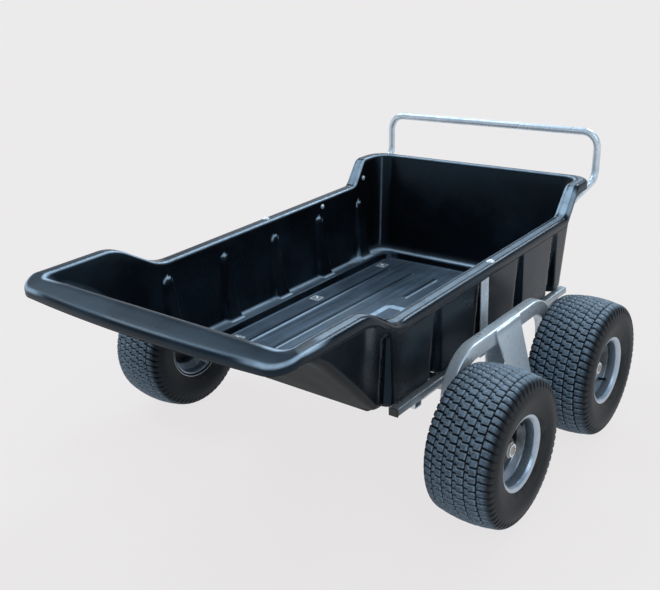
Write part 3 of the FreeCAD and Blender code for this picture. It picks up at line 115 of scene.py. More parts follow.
class TubSizes(bpy.types.PropertyGroup):
    """Sizes of the moulded tub; places along it are distances from the axles' middle."""
    wall: length("Wall", 0.005, "Thickness of the moulding")
    ledge_height: length("Ledge height", 0.356, "Height of the ledge round the floor")
    panel_drop: length("Panel drop", 0.024, "Depth of the floor panel below the ledge")
    riser: length("Riser", 0.010, "Width over which the ledge drops to the panel")
    ledge_half: length("Ledge half width", 0.419, "Half the inside width at the ledge")
    panel_half: length("Panel half width", 0.357, "Half the width of the floor panel")
    panel_front: length("Panel front", 0.632, "Front end of the floor panel")
    panel_corner: length("Panel corner", 0.060, "Radius of the panel's front corners")
    ledge_front: length("Front wall", 0.655, "Inside of the front wall at the ledge")
    front_corner: length("Front corner", 0.060, "Inside radius of the front corners")
    side_draft: angle("Side draft", 2.3, "Outward lean of the side walls")
    front_draft: angle("Front draft", 7.8, "Forward lean of the front wall")
    knee_behind: length("Knee", 0.4979, "Where the panel turns up into the slope")
    knee_soft: length("Knee softness", 0.006, "Rise of the rounded knee over its corner")
    slope_ease: length("Slope ease", 0.774, "Where the rear slope eases, at its underside")
    slope_ease_height: length("Slope ease height", 0.6071, "Height of the slope there")
    lip_slope: angle("Lip slope", 35, "Slope of the rear floor below the lip")
    slope_soft: length("Slope softness", 0.001, "Rounding where the slope eases")
    lip_inner: length("Lip crest", 0.938, "Where the slope turns into the lip")
    lip_crest: length("Lip crest height", 0.724, "Height of the lip's crest")
    lip_crest_bend: length("Lip crest radius", 0.040, "Radius of the lip's crest")
    lip_corner: length("Lip inner corner", 0.030, "Radius of the opening's rear corners")
    wall_flare: length("Wall flare", 0.548, "Where the side walls start to flare out")
    wall_flare_run: length("Wall flare run", 0.100, "Length over which they flare out")
    wall_flare_wide: length("Wall flare width", 0.026, "How far they flare at the rim")
    lip_bow: length("Lip bow", 0.017, "How far the lip's middle stands behind its corners")
    lip_height: length("Lip height", 0.700, "Top of the lip's edge")
    hump_behind: length("Hump", 0.668, "Crest of the rim behind the axles")
    hump_height: length("Hump height", 0.726, "Height of the rim's crest")
    dip_behind: length("Dip", 0.528, "Dip of the rim behind the axles")
    dip_height: length("Dip height", 0.638, "Height of the rim's dip")
    wave_bend: length("Wave radius", 0.150, "Radius of the rim's wave")
    step_foot: length("Step foot", 0.520, "Foot of the rim's step")
    step_foot_height: length("Step foot height", 0.655, "Height of the rim at the step")
    step_top: length("Step top", 0.592, "Top of the rim's step")
    step_bend: length("Step radius", 0.042, "Radius of the rim's step")
    rim_half: length("Rim half width", 0.482, "Half the width over the rim's sides")
    rim_corner: length("Rim corner", 0.072, "Radius of the rim's corners in plan")
    flare_start: length("Flare start", 0.450, "Where the rim starts to flare out")
    flare_end: length("Flare end", 0.665, "Where the rim reaches its full width")
    skirt: length("Skirt", 0.030, "Depth of the rim's skirt")
    lip_skirt: length("Lip skirt", 0.024, "Depth of the skirt at the lip")
    foot_round: length("Foot rounding", 0.013, "Setback of the rounding at the wall's foot")
    slope_round: length("Slope rounding", 0.027, "Setback of the rounding beside the slope")
    edge_round: length("Edge rounding", 0.0115, "Setback of the rounding inside the rim")
    lip_round: length("Lip rounding", 0.016, "Setback of the rounding inside the lip")
    rim_round: length("Rim rounding", 0.016, "Setback of the rounding outside the rim")
    rib_pitch: length("Rib pitch", 0.260, "Distance between the wall ribs")
    rib_middle: length("Middle rib", 0.010, "Place of the middle rib")
    rib_foot_half: length("Rib foot", 0.036, "Half width of a rib at the ledge")
    rib_head_half: length("Rib head", 0.022, "Half width of a rib at its head")
    rib_foot_deep: length("Rib foot depth", 0.024, "Depth of a rib at the ledge")
    rib_head_deep: length("Rib head depth", 0.009, "Depth of a rib at its head")
    rib_top: length("Rib top", 0.592, "Height of a rib's head")
    rib_edge: length("Rib edge", 0.0065, "Width of a rib's sloping sides")
    bead_half: length("Bead half width", 0.013, "Half the width of a floor bead")
    bead_high: length("Bead height", 0.0045, "Height of a floor bead")
    bead_front: length("Bead front", 0.493, "Front end of the floor beads")
    bead_inner: length("Inner bead", 0.040, "Inner short beads from the centre line")
    bead_middle: length("Middle bead", 0.1535, "Middle beads from the centre line")
    bead_outer: length("Outer bead", 0.266, "Outer beads from the centre line")
    short_bead: length("Short bead", 0.276, "Rear end of the inner short beads")
    recess_front: length("Recess front", 0.188, "Front end of the floor's recess")
    recess_rear: length("Recess rear", 0.060, "Rear end of the floor's recess")
    recess_half: length("Recess half width", 0.048, "Half the width of the recess")
    recess_deep: length("Recess depth", 0.008, "Depth of the recess")
    recess_round: length("Recess edge", 0.012, "Width of the recess's sloping edge")


class TyreSizes(bpy.types.PropertyGroup):
    """Sizes of a turf tyre."""
    half_width: length("Half width", 0.1075, "Half the width over the side walls")
    tread_half: length("Tread half width", 0.088, "Half the width of the tread band")
    crown: length("Crown", 0.011, "Rise of the tread band at its middle")
    bead_radius: length("Bead radius", 0.103, "Radius where the tyre meets the rim")
    shoulder: length("Shoulder", 0.026, "Radius of the shoulders")
    pitches: IntProperty(name="Pitches", default=60, min=8, max=96,
                         description="Tread blocks round the tyre")
    block_wide: length("Block width", 0.034, "Width of one column of tread blocks")
    groove: length("Groove", 0.0044, "Width of the grooves between the blocks")
    groove_deep: length("Groove depth", 0.0070, "Depth of the grooves")
    step: share("Block step", 0.30, "Sideways step in each block, in pitches")
    per_pitch: IntProperty(name="Steps per pitch", default=12, min=6, max=20,
                           description="Grid lines round the tyre for each tread block")


class WheelSizes(bpy.types.PropertyGroup):
    """Sizes of a pressed wheel, from the tyre's middle outwards."""
    flange_radius: length("Flange radius", 0.1130, "Outer radius of the rim's edges")
    half_width: length("Half width", 0.092, "Half the width over the rim's edges")
    seat_radius: length("Seat radius", 0.1005, "Outer radius of the bead seats")
    well_radius: length("Well radius", 0.078, "Outer radius of the drop centre")
    well_half: length("Well half width", 0.036, "Half the width of the drop centre")
    steel: length("Steel", 0.004, "Thickness of the pressing")
    disc: length("Disc", 0.008, "Place of the disc outboard of the middle")
    hub_hole: length("Hub hole", 0.0325, "Radius of the disc's hole")
    lug_circle: length("Lug circle", 0.050, "Radius of the circle of wheel nuts")
    lug_nut: length("Wheel nut", 0.0095, "Half the width of a wheel nut over its corners")
    valve_radius: length("Valve radius", 0.088, "From the axle's line to the valve's foot")
    valve_out: length("Valve place", 0.040, "From the tyre's middle out to the valve's foot")
    # Depth in the wheel at which the painted shade is full.
    shade_reach: length("Grime reach", 0.050, "Depth in the wheel at which grime is full")


class FrameSizes(bpy.types.PropertyGroup):
    """Sizes of the tubes and plates of the frame, the bogies and the handle."""
    tube_round: length("Tube rounding", 0.005, "Corner radius of the rectangular tubes")
    tube_wall: length("Tube wall", 0.004, "Wall of the rectangular tubes")
    beam_wide: length("Beam width", 0.040, "Width of an arched beam")
    beam_deep: length("Beam depth", 0.050, "Depth of an arched beam")
    beam_bend: length("Beam bend", 0.120, "Radius of the arched beam's bends")
    beam_inner_round: length("Beam inner rounding", 0.002, "Inner corner radius of its tube")
    bed_wall: length("Bed tube wall", 0.0025, "Wall of the bed's rails and cross members")
    member_wide: length("Cross member width", 0.040, "Width of the bed's cross members")
    member_place: length("Cross member place", 0.260, "Place of the middle cross member")
    plate: length("Plate", 0.006, "Thickness of the bracket plates")
    bracket_top: length("Bracket top", 0.078, "Half width of a bracket at its top")
    bracket_step: length("Bracket step", 0.003, "How far a bracket ends below its beam's top")
    bracket_lap: length("Bracket lap", 0.012, "Upright lap of a bracket on its beam")
    bracket_foot: length("Bracket foot", 0.044, "Half width of a bracket at its foot")
    splay: length("Splay", 0.072, "Outward lean of a bracket's outer plate")
    spindle_height: length("Spindle height", 0.215, "Height of the bogie spindles")
    sleeve_radius: length("Sleeve radius", 0.029, "Radius of a bracket's sleeve")
    sleeve_wall: length("Sleeve wall", 0.0098, "Wall of a bracket's sleeve")
    weld_radius: length("Weld radius", 0.0026, "Half the width of a weld")
    weld_inset: length("Weld inset", 0.006, "How far a weld ends inside its bracket's edge")
    strap_wide: length("Strap width", 0.045, "Width of a strap")
    strap_thick: length("Strap thickness", 0.005, "Thickness of a strap")
    strap_bend: length("Strap bend", 0.008, "Radius of a strap's bend")
    handle_radius: length("Handle radius", 0.0135, "Radius of the push handle's tube")
    handle_bend: length("Handle bend", 0.058, "Radius of the handle's bends")
    handle_front_bend: length("Handle front bend", 0.0464, "Radius of its front bends")


class FinishColours(bpy.types.PropertyGroup):
    """Colours of the finishes."""
    tub: colour("Tub", (0.0030, 0.0036, 0.0048), "Moulded black plastic")
    # Load-floor scuffs: wear in their streaks, a painted sheen in their pale blue.
    tub_scuffs_and_sheen: colour("Tub scuffs", (0.165, 0.242, 0.335), "Fine scuffs on the load floor")
    # Blue smears at random: a painted reflection.
    tub_smear_reflection: colour("Tub smears", (0.014, 0.024, 0.038), "Wiped smears on the plastic")
    # Pale blue on the plastic's bends: a painted highlight.
    tub_painted_highlight: colour("Tub bends", (0.50, 0.68, 0.86), "Pale rubbed bends of the plastic")
    tub_under: colour("Tub underside", (0.016, 0.014, 0.011), "Brown dull underside")
    rubber: colour("Rubber", (0.006, 0.0072, 0.009), "Tyre rubber")
    rubber_worn: colour("Worn rubber", (0.138, 0.200, 0.272), "Scuffed tops of the blocks")
    # A painted highlight on the blocks' edges and on their faces that look up.
    rubber_highlight: colour("Rubber edges", (0.27, 0.36, 0.45), "Pale edges of the blocks")
    rubber_groove: colour("Rubber groove", (0.0025, 0.003, 0.004), "Shaded tread grooves")
    rubber_dust: colour("Rubber dust", (0.034, 0.028, 0.022), "Brown dust beside the rim")
    galvanised: colour("Galvanised", (0.84, 0.92, 0.98), "Dipped zinc coat")
    galvanised_dark: colour("Zinc patina", (0.50, 0.61, 0.71), "Darker zinc patina")
    rim: colour("Wheel paint", (0.44, 0.53, 0.62), "Silver paint of the wheels")
    rim_dust: colour("Wheel dust", (0.16, 0.17, 0.18), "Brake and road dust on the wheels")
    # Dark deep in the wheels, most on faces that look down: painted shade.
    grime: colour("Wheel grime", (0.018, 0.022, 0.028), "Dark grime deep in the wheels")
    zinc: colour("Bright zinc", (0.86, 0.94, 1.0), "Plated bolts and pins")
    cap: colour("Hub caps", (0.36, 0.33, 0.29), "Dull plated hub caps")
    trim: colour("Trim", (0.008, 0.008, 0.009), "Black end caps and valves")
    floor: colour("Studio floor", (0.72, 0.70, 0.69), "Pale floor of the studio")
    even: colour("Even light", (0.90, 0.955, 1.0), "Colour of the light from all round")
    lamps: colour("Lamps", (0.86, 0.94, 1.0), "Colour of the soft lights")
    cool: colour("Cool band", (0.52, 0.74, 0.96), "Paleness above the far side's own")
    walls: colour("Walls", (0.11, 0.14, 0.17), "Darker walls above it")
    ceiling: colour("Ceiling", (0.32, 0.46, 0.60), "Cool bright ceiling of the studio")
    backdrop: colour("Backdrop", (0.852, 0.834, 0.841), "Paleness of the studio's far side")


class StageSettings(bpy.types.PropertyGroup):
    """The studio: light levels and the camera."""
    world_level: FloatProperty(name="World level", default=0.42, min=0.0, max=2.0,
                               description="Strength of the even light from all round")
    ahead_level: FloatProperty(name="Front light", default=1.25, min=0.0, max=10.0,
                               description="Strength of the soft light ahead")
    ahead_spread: angle("Front light spread", 20, "Angular size of the soft light ahead")
    left_level: FloatProperty(name="Left light", default=1.15, min=0.0, max=10.0,
                              description="Strength of the soft light on the left")
    left_spread: angle("Left light spread", 24, "Angular size of the light on the left")
    fill_level: FloatProperty(name="Fill light", default=0.56, min=0.0, max=10.0,
                              description="Strength of the fill behind and to the right")
    fill_spread: angle("Fill light spread", 40, "Angular size of the fill")
    edge_level: FloatProperty(name="Edge light", default=0.36, min=0.0, max=10.0,
                              description="Strength of the light on the upper edges")
    edge_spread: angle("Edge light spread", 16, "Angular size of the edge light")
    shadow_depth: share("Shadow depth", 0.11, "How far the floor answers to the lamps")
    camera_from: FloatVectorProperty(
        name="Camera place", default=(-2.4532, -1.6395, 1.5320), subtype="XYZ",
        unit="LENGTH", description="Where the camera stands")
    camera_yaw: angle("Camera heading", 39.232, "Heading, turned left from +X")
    camera_pitch: angle("Camera tilt", 21.449, "Downward tilt")
    camera_roll: angle("Camera roll", -2.785, "Roll about the line of sight")
    camera_lens: FloatProperty(name="Lens", default=47.01, min=10.0, max=300.0,
                               description="Focal length in millimetres on a 36 mm frame")


# ---------------------------------------------------------------- curves and meshes

TUBE_SEEN_DEPTH = 0.050
TUBE_LEAST_BEND = 0.001


def smooth(share_):
    """0 below 0, 1 above 1, and 3t^2 - 2t^3 between."""
    t = np.clip(share_, 0.0, 1.0)
    return t * t * (3.0 - 2.0 * t)


def soft_step(value, start, run):
    """0 up to a start, 1 from a run beyond it, and eased between."""
    return smooth((value - start) / run)


def smooth_max(one, other, soft):
    """The higher of two surfaces joined by a hyperbola: their mean, plus the root of half
    their difference squared and a small length squared."""
    return (one + other) / 2 + np.sqrt(((one - other) / 2) ** 2 + soft ** 2)


def rounded_line(points, radii, steps=24):
    """Straight runs joined by tangent arcs. Each corner is cut back by r / tan(half the angle
    between its runs), and the arc turns about the point r / sin(half that angle) inside it:
    centre + (sin((1-t)a) start + sin(ta) end) / sin a, with a the turn."""
    spots = np.asarray(points, float)
    parts = [spots[:1]]
    shares = np.linspace(0.0, 1.0, steps)[:, None]
    for before, here, after, radius in zip(spots, spots[1:], spots[2:], radii[1:]):
        back = (before - here) / np.linalg.norm(before - here)
        onward = (after - here) / np.linalg.norm(after - here)
        half = math.acos(float(np.clip(back @ onward, -1, 1))) / 2
        if radius == 0 or half > math.pi / 2 - 1e-4:
            parts.append(here[None])
            continue
        inward = (back + onward) / np.linalg.norm(back + onward)
        centre = here + inward * radius / math.sin(half)
        start = here + back * radius / math.tan(half) - centre
        end = here + onward * radius / math.tan(half) - centre
        turn = math.pi - 2 * half
        parts.append(centre + (np.sin((1 - shares) * turn) * start
                               + np.sin(shares * turn) * end) / math.sin(turn))
    parts.append(spots[-1:])
    return np.concatenate(parts)


def resampled(line, count):
    """Points evenly spaced along a line, by the running sum of its steps."""
    steps = np.linalg.norm(np.diff(line, axis=0), axis=1)
    run = np.concatenate([[0.0], np.cumsum(steps)])
    where = np.linspace(0.0, run[-1], count)
    return np.stack([np.interp(where, run, line[:, k]) for k in range(line.shape[1])], 1)


def crowded(start, end, count, spots, reach, gain):
    """Places from start to end that crowd round some spots: equal steps of the running sum
    of 1 + gain exp(-((x - spot) / reach)^2)."""
    fine = np.linspace(start, end, 6000)
    crowd = 1 + gain * np.exp(-((fine[:, None] - np.array(spots)) / reach) ** 2).sum(1)
    total = np.concatenate([[0.0], np.cumsum((crowd[1:] + crowd[:-1]) / 2)])
    return np.interp(np.linspace(0.0, total[-1], count), total, fine)


def run_between(start, end, shares):
    """Points on straight lines from start to end, one row of points for each share."""
    shares = np.asarray(shares, float)
    shares = shares.reshape(shares.shape + (1,) * start.ndim)
    return start + (end - start) * shares


def bend_between(start, corner, end, shares):
    """Rows of points round a corner, one for each share t: a rational curve
    ((1-t)^2 A + 2w t(1-t) C + t^2 B) over the same sum of weights, with w the sine of half
    the corner's angle, which makes an arc of a circle where both setbacks are equal."""
    back = start - corner
    onward = end - corner
    scale = np.linalg.norm(back, axis=-1) * np.linalg.norm(onward, axis=-1) + 1e-12
    cosine = np.clip((back * onward).sum(-1) / scale, -1, 1)
    weight = np.sqrt((1 - cosine) / 2)[None, :, None]
    t = shares[:, None, None]
    top = (1 - t) ** 2 * start + 2 * weight * t * (1 - t) * corner + t ** 2 * end
    return top / ((1 - t) ** 2 + 2 * weight * t * (1 - t) + t ** 2)


def rounded_rectangle(wide, deep, radius, steps=6):
    """A closed section about the origin: quarter circles about four inset corners."""
    t = np.linspace(0.0, math.pi / 2, steps)
    corner = np.stack([np.cos(t), np.sin(t)], 1) * radius
    inset = np.array([wide / 2 - radius, deep / 2 - radius])
    quarters = []
    for k in range(4):
        c, s = round(math.cos(k * math.pi / 2)), round(math.sin(k * math.pi / 2))
        turned = corner @ np.array([[c, s], [-s, c]])
        signs = np.array([(1, 1), (-1, 1), (-1, -1), (1, -1)][k])
        quarters.append(turned + signs * inset)
    return np.concatenate(quarters)


def circle(radius, count):
    """Points (r cos t, r sin t), evenly spaced."""
    t = np.linspace(0.0, 2 * math.pi, count, endpoint=False)
    return np.stack([np.cos(t), np.sin(t)], 1) * radius


def grid_faces(rows, columns, wrap_rows=False, wrap_columns=False):
    """Four-sided faces of a grid of points numbered row by row."""
    i = np.arange(rows if wrap_rows else rows - 1)[:, None]
    j = np.arange(columns if wrap_columns else columns - 1)[None, :]
    up = (i + 1) % rows
    right = (j + 1) % columns
    corners = (i * columns + j, i * columns + right, up * columns + right, up * columns + j)
    return np.stack([c.ravel() for c in corners], 1)


class Shell:
    """A mesh in the making: grids of points gathered into one piece."""

    def __init__(self):
        self.points = []
        self.faces = []
        self.marks = {}
        self.count = 0

    def grid(self, points, wrap_rows=False, wrap_columns=False, marks=None):
        """Add a grid of points. Marks are named grids of numbers that ride on the points."""
        rows, columns = points.shape[:2]
        for label, values in (marks or {}).items():
            self.marks.setdefault(label, []).append(values.ravel())
        self.faces.append(grid_faces(rows, columns, wrap_rows, wrap_columns) + self.count)
        self.points.append(points.reshape(-1, 3))
        self.count += rows * columns
        return self

    def mesh(self, name, sharp_above=None, outward=True):
        """The gathered grids as a mesh in the trailer's frame, its doubles merged."""
        points = np.concatenate(self.points) + np.array([AXLE_X, 0.0, 0.0])
        faces = np.concatenate(self.faces)
        mesh = bpy.data.meshes.new(name)
        mesh.vertices.add(len(points))
        mesh.vertices.foreach_set("co", points.astype(np.float32).ravel())
        mesh.loops.add(faces.size)
        mesh.loops.foreach_set("vertex_index", faces.astype(np.int32).ravel())
        mesh.polygons.add(len(faces))
        mesh.polygons.foreach_set("loop_start", np.arange(0, faces.size, 4, dtype=np.int32))
        mesh.update(calc_edges=True)
        for label, values in self.marks.items():
            layer = mesh.attributes.new(label, "FLOAT", "POINT")
            layer.data.foreach_set("value", np.concatenate(values).astype(np.float32))
        build = bmesh.new()
        build.from_mesh(mesh)
        bmesh.ops.remove_doubles(build, verts=build.verts, dist=2e-6)
        if outward:
            bmesh.ops.recalc_face_normals(build, faces=build.faces)
        for face in build.faces:
            face.smooth = True
        build.to_mesh(mesh)
        build.free()
        if sharp_above is not None:
            mesh.set_sharp_from_angle(angle=math.radians(sharp_above))
        return mesh


def add_piece(name, mesh, finish, body, replaces=(), slot=None):
    """A piece in the scene that moves with a body and stands for some solids; its material is
    its finish. The slot argument is not used."""
    piece = bpy.data.objects.new(name, mesh)
    bpy.context.scene.collection.objects.link(piece)
    mesh.materials.append(finish_for(finish))
    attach(piece, body)
    if replaces:
        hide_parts(*replaces)
    return piece


def add_shell(name, shell, sharp_above, *where):
    """A piece made of a shell; its edges are sharp above an angle in degrees."""
    return add_piece(name, shell.mesh(name, sharp_above), *where)


def revolved(profile, count=96):
    """A profile of (along, radius) turned about the Y direction: each ring of points is
    (r cos t, along, r sin t)."""
    t = np.linspace(0.0, 2 * math.pi, count, endpoint=False)
    along = np.broadcast_to(profile[:, :1], (len(profile), count))
    radius = profile[:, 1:]
    return np.stack([radius * np.cos(t), along, radius * np.sin(t)], -1)


def carried(section, path, across):
    """A section carried along a path in one plane. The point (a, b) of the section lies at
    path + a across + b up, where up is square to the path's direction and to across."""
    ahead = np.gradient(path, axis=0)
    ahead /= np.linalg.norm(ahead, axis=1)[:, None]
    across = np.asarray(across, float)
    up = np.cross(across, ahead)
    return (path[:, None, :] + section[None, :, :1] * across
            + section[None, :, 1:] * up[:, None, :])


def closed_ends(rows, first, last):
    """Rows of points with one point, repeated all round, before them and one after them."""
    ring = np.ones((rows.shape[1], 1))
    return np.concatenate([(ring * first)[None], rows, (ring * last)[None]])


def open_tube(path, across, wide, deep, wall, bends):
    """A rectangular tube carried along a path, its outer and inner corners rounded by two
    radii. Its ends show its wall: past the outer section come the inner one, the same a
    little inside, and its middle."""
    rows = carried(rounded_rectangle(wide, deep, bends[0]), path, across)
    section = rounded_rectangle(wide - 2 * wall, deep - 2 * wall, bends[1])
    inner = carried(section, path, across)
    ways = np.array([path[1] - path[0], path[-2] - path[-1]])
    inwards = ways / np.linalg.norm(ways, axis=1)[:, None] * TUBE_SEEN_DEPTH
    rows = np.concatenate([(inner[0] + inwards[0])[None], inner[:1], rows, inner[-1:],
                           (inner[-1] + inwards[1])[None]])
    return closed_ends(rows, path[0] + inwards[0], path[-1] + inwards[1])


def turned_to(points, origin, outward, ahead):
    """Points made about the Y direction, moved to an origin with -Y pointing outward."""
    outward = np.asarray(outward, float) / np.linalg.norm(outward)
    ahead = np.asarray(ahead, float)
    ahead = ahead - outward * (ahead @ outward)
    ahead /= np.linalg.norm(ahead)
    up = np.cross(ahead, -outward)
    return (np.asarray(origin) + points[..., :1] * ahead + points[..., 1:2] * -outward
            + points[..., 2:] * up)


# ---------------------------------------------------------------- finishes

def new_group(name, inputs, outputs):
    """An empty shader node group with named inputs and outputs: the group, the sockets of
    what it is given, and a function that links what it puts out."""
    group = bpy.data.node_groups.new(name, "ShaderNodeTree")
    kinds = {1: "Float", 3: "Vector", 4: "Color"}
    for label, default in inputs.items():
        socket = group.interface.new_socket(
            label, in_out="INPUT", socket_type=f"NodeSocket{kinds[np.size(default)]}")
        socket.default_value = default
    for label, kind in outputs.items():
        group.interface.new_socket(label, in_out="OUTPUT", socket_type=f"NodeSocket{kind}")
    given = group.nodes.new("NodeGroupInput").outputs
    result = group.nodes.new("NodeGroupOutput").inputs

    def put_out(**sockets):
        for label, output in sockets.items():
            group.links.new(output, result[label])

    return group, given, put_out


def add_node(tree, kind, inputs, **settings):
    """A shader node with its settings, and a value or a link for each of the inputs, by
    label or number. Colours are given as red, green and blue."""
    node = tree.nodes.new(f"ShaderNode{kind}")
    for label, value in settings.items():
        setattr(node, label, value)
    for label, given in inputs.items():
        socket = node.inputs[label]
        if isinstance(given, bpy.types.NodeSocket):
            tree.links.new(given, socket)
        else:
            socket.default_value = (*given, 1.0) if socket.type == "RGBA" else given
    return node


def maths(tree, operation, one, other, clamp=False):
    """A sum, product or other operation on two values."""
    return add_node(tree, "Math", {0: one, 1: other}, operation=operation,
                    use_clamp=clamp).outputs[0]


def noise(tree, vector, scale, detail, roughness):
    """Cloudy noise from 0 to 1; scale is in clouds a metre."""
    return add_node(tree, "TexNoise", {"Vector": vector, "Scale": scale, "Detail": detail,
                                       "Roughness": roughness}).outputs["Fac"]


def spread(tree, value, low, high, to_low=0.0, to_high=1.0):
    """A value from low to high, eased by 3t^2 - 2t^3 to run from to_low to to_high."""
    ends = {"From Min": low, "From Max": high, "To Min": to_low, "To Max": to_high}
    return add_node(tree, "MapRange", {"Value": value, **ends},
                    interpolation_type="SMOOTHSTEP").outputs["Result"]


def mixed(tree, amount, one, other):
    """One colour at 0 and the other at 1."""
    return add_node(tree, "Mix", {0: amount, 6: one, 7: other}, data_type="RGBA").outputs[2]


def stretched(tree, vector, scale):
    """A place scaled along each axis."""
    return add_node(tree, "Mapping", {"Vector": vector, "Scale": scale}).outputs["Vector"]


def parts_of(tree, vector):
    """The X, Y and Z of a vector."""
    return add_node(tree, "SeparateXYZ", {0: vector}).outputs


def facing_up(tree):
    """How far the surface faces up: the height of its normal, from -1 to 1."""
    return parts_of(tree, add_node(tree, "NewGeometry", {}).outputs["Normal"])["Z"]


def dust_group():
    """Dust: settles on faces that look up, in soft patches, and dulls the surface."""
    group, given, put_out = new_group(
        "settled_dust",
        {"Vector": (0, 0, 0), "Color": (0, 0, 0, 1), "Dust": (0.2, 0.2, 0.2, 1),
         "Roughness": 0.4, "Upward": 0.2, "Everywhere": 0.05, "Scale": 6.0,
         "Patchiness": 1.0},
        {"Color": "Color", "Roughness": "Float"})
    vector = given["Vector"]
    upward = spread(group, facing_up(group), 0.55, 0.98)
    patches = spread(group, noise(group, vector, given["Scale"], 6.0, 0.62), 0.34, 0.72)
    specks = spread(group, noise(group, vector, 140.0, 3.0, 0.6), 0.52, 0.74)
    settled = maths(group, "MULTIPLY", upward, given["Upward"])
    level = maths(group, "ADD", settled, given["Everywhere"])
    uneven = maths(group, "ADD", maths(group, "MULTIPLY", patches, 0.85),
                   maths(group, "MULTIPLY", specks, 0.45))
    patchy = maths(group, "MULTIPLY", maths(group, "SUBTRACT", uneven, 0.6),
                   given["Patchiness"])
    mask = maths(group, "MULTIPLY", level, maths(group, "ADD", patchy, 0.6), clamp=True)
    put_out(Color=mixed(group, mask, given["Color"], given["Dust"]),
            Roughness=maths(group, "ADD", given["Roughness"],
                            maths(group, "MULTIPLY", mask, 0.45), clamp=True))


def grain_group():
    """Grain: a fine height of pebbled moulding or cast skin, with slow waviness under it."""
    group, given, put_out = new_group(
        "skin_grain", {"Vector": (0, 0, 0), "Scale": 400.0, "Fine": 0.5, "Waves": 0.5},
        {"Height": "Float", "Patches": "Float"})
    vector = given["Vector"]
    fine = noise(group, vector, given["Scale"], 2.0, 0.5)
    waves = noise(group, vector, 9.0, 3.0, 0.5)
    put_out(Height=maths(group, "ADD", maths(group, "MULTIPLY", fine, given["Fine"]),
                         maths(group, "MULTIPLY", waves, given["Waves"])),
            Patches=noise(group, vector, 3.5, 5.0, 0.6))


def zinc_group():
    """Zinc spangle: cells of slightly different brightness, cloudy patina and faint runs."""
    group, given, put_out = new_group(
        "zinc_spangle",
        {"Vector": (0, 0, 0), "Light": (0, 0, 0, 1), "Dark": (0, 0, 0, 1), "Scale": 90.0,
         "Patina": 0.5},
        {"Color": "Color", "Roughness": "Float", "Height": "Float"})
    vector = given["Vector"]
    cells = add_node(group, "TexVoronoi", {"Vector": vector, "Scale": given["Scale"]})
    spangle = add_node(group, "SeparateColor", {0: cells.outputs["Color"]}).outputs[0]
    clouds = spread(group, noise(group, vector, 11.0, 6.0, 0.65), 0.35, 0.7)
    runs = noise(group, stretched(group, vector, (60.0, 60.0, 5.0)), 1.0, 4.0, 0.6)
    dull = maths(group, "MULTIPLY", clouds, given["Patina"])
    mottled = maths(group, "ADD", dull, maths(group, "MULTIPLY", spangle, 0.22))
    amount = maths(group, "ADD", mottled, maths(group, "MULTIPLY", runs, 0.25), clamp=True)
    put_out(Color=mixed(group, amount, given["Light"], given["Dark"]),
            Roughness=spread(group, amount, 0.0, 1.0, 0.24, 0.52),
            Height=maths(group, "ADD", spangle, runs))


class Finish:
    """One material in the making: its tree, its shader and its place on the object."""

    def __init__(self, name):
        self.material = bpy.data.materials.new(name)
        self.material.use_nodes = True
        self.tree = self.material.node_tree
        self.shader = self.tree.nodes["Principled BSDF"]
        self.place = add_node(self.tree, "TexCoord", {}).outputs["Object"]

    def set(self, **sockets):
        """Set plain values on the shader's own sockets."""
        for label, given in sockets.items():
            self.shader.inputs[label.replace("_", " ")].default_value = given
        return self

    def feed(self, socket, output):
        """Link an output to one of the shader's sockets."""
        self.tree.links.new(output, self.shader.inputs[socket])
        return self

    def group(self, name, **given):
        """Place a group on the object's own coordinates, with values or links."""
        return add_node(self.tree, "Group", {"Vector": self.place, **given},
                        node_tree=bpy.data.node_groups[name])

    def wear(self, group):
        """Take the colour and the roughness from a group."""
        self.feed("Base Color", group.outputs["Color"])
        return self.feed("Roughness", group.outputs["Roughness"])

    def bump(self, height, distance, strength):
        """Raise the surface's grain by a height."""
        node = add_node(self.tree, "Bump", {"Height": height, "Distance": distance,
                                            "Strength": strength})
        return self.feed("Normal", node.outputs["Normal"])


def rgb(values):
    """A colour setting as plain numbers."""
    return tuple(float(v) for v in values)


def attribute(tree, label):
    """A named mark that rides on a mesh's points."""
    return add_node(tree, "Attribute", {}, attribute_name=label).outputs["Fac"]


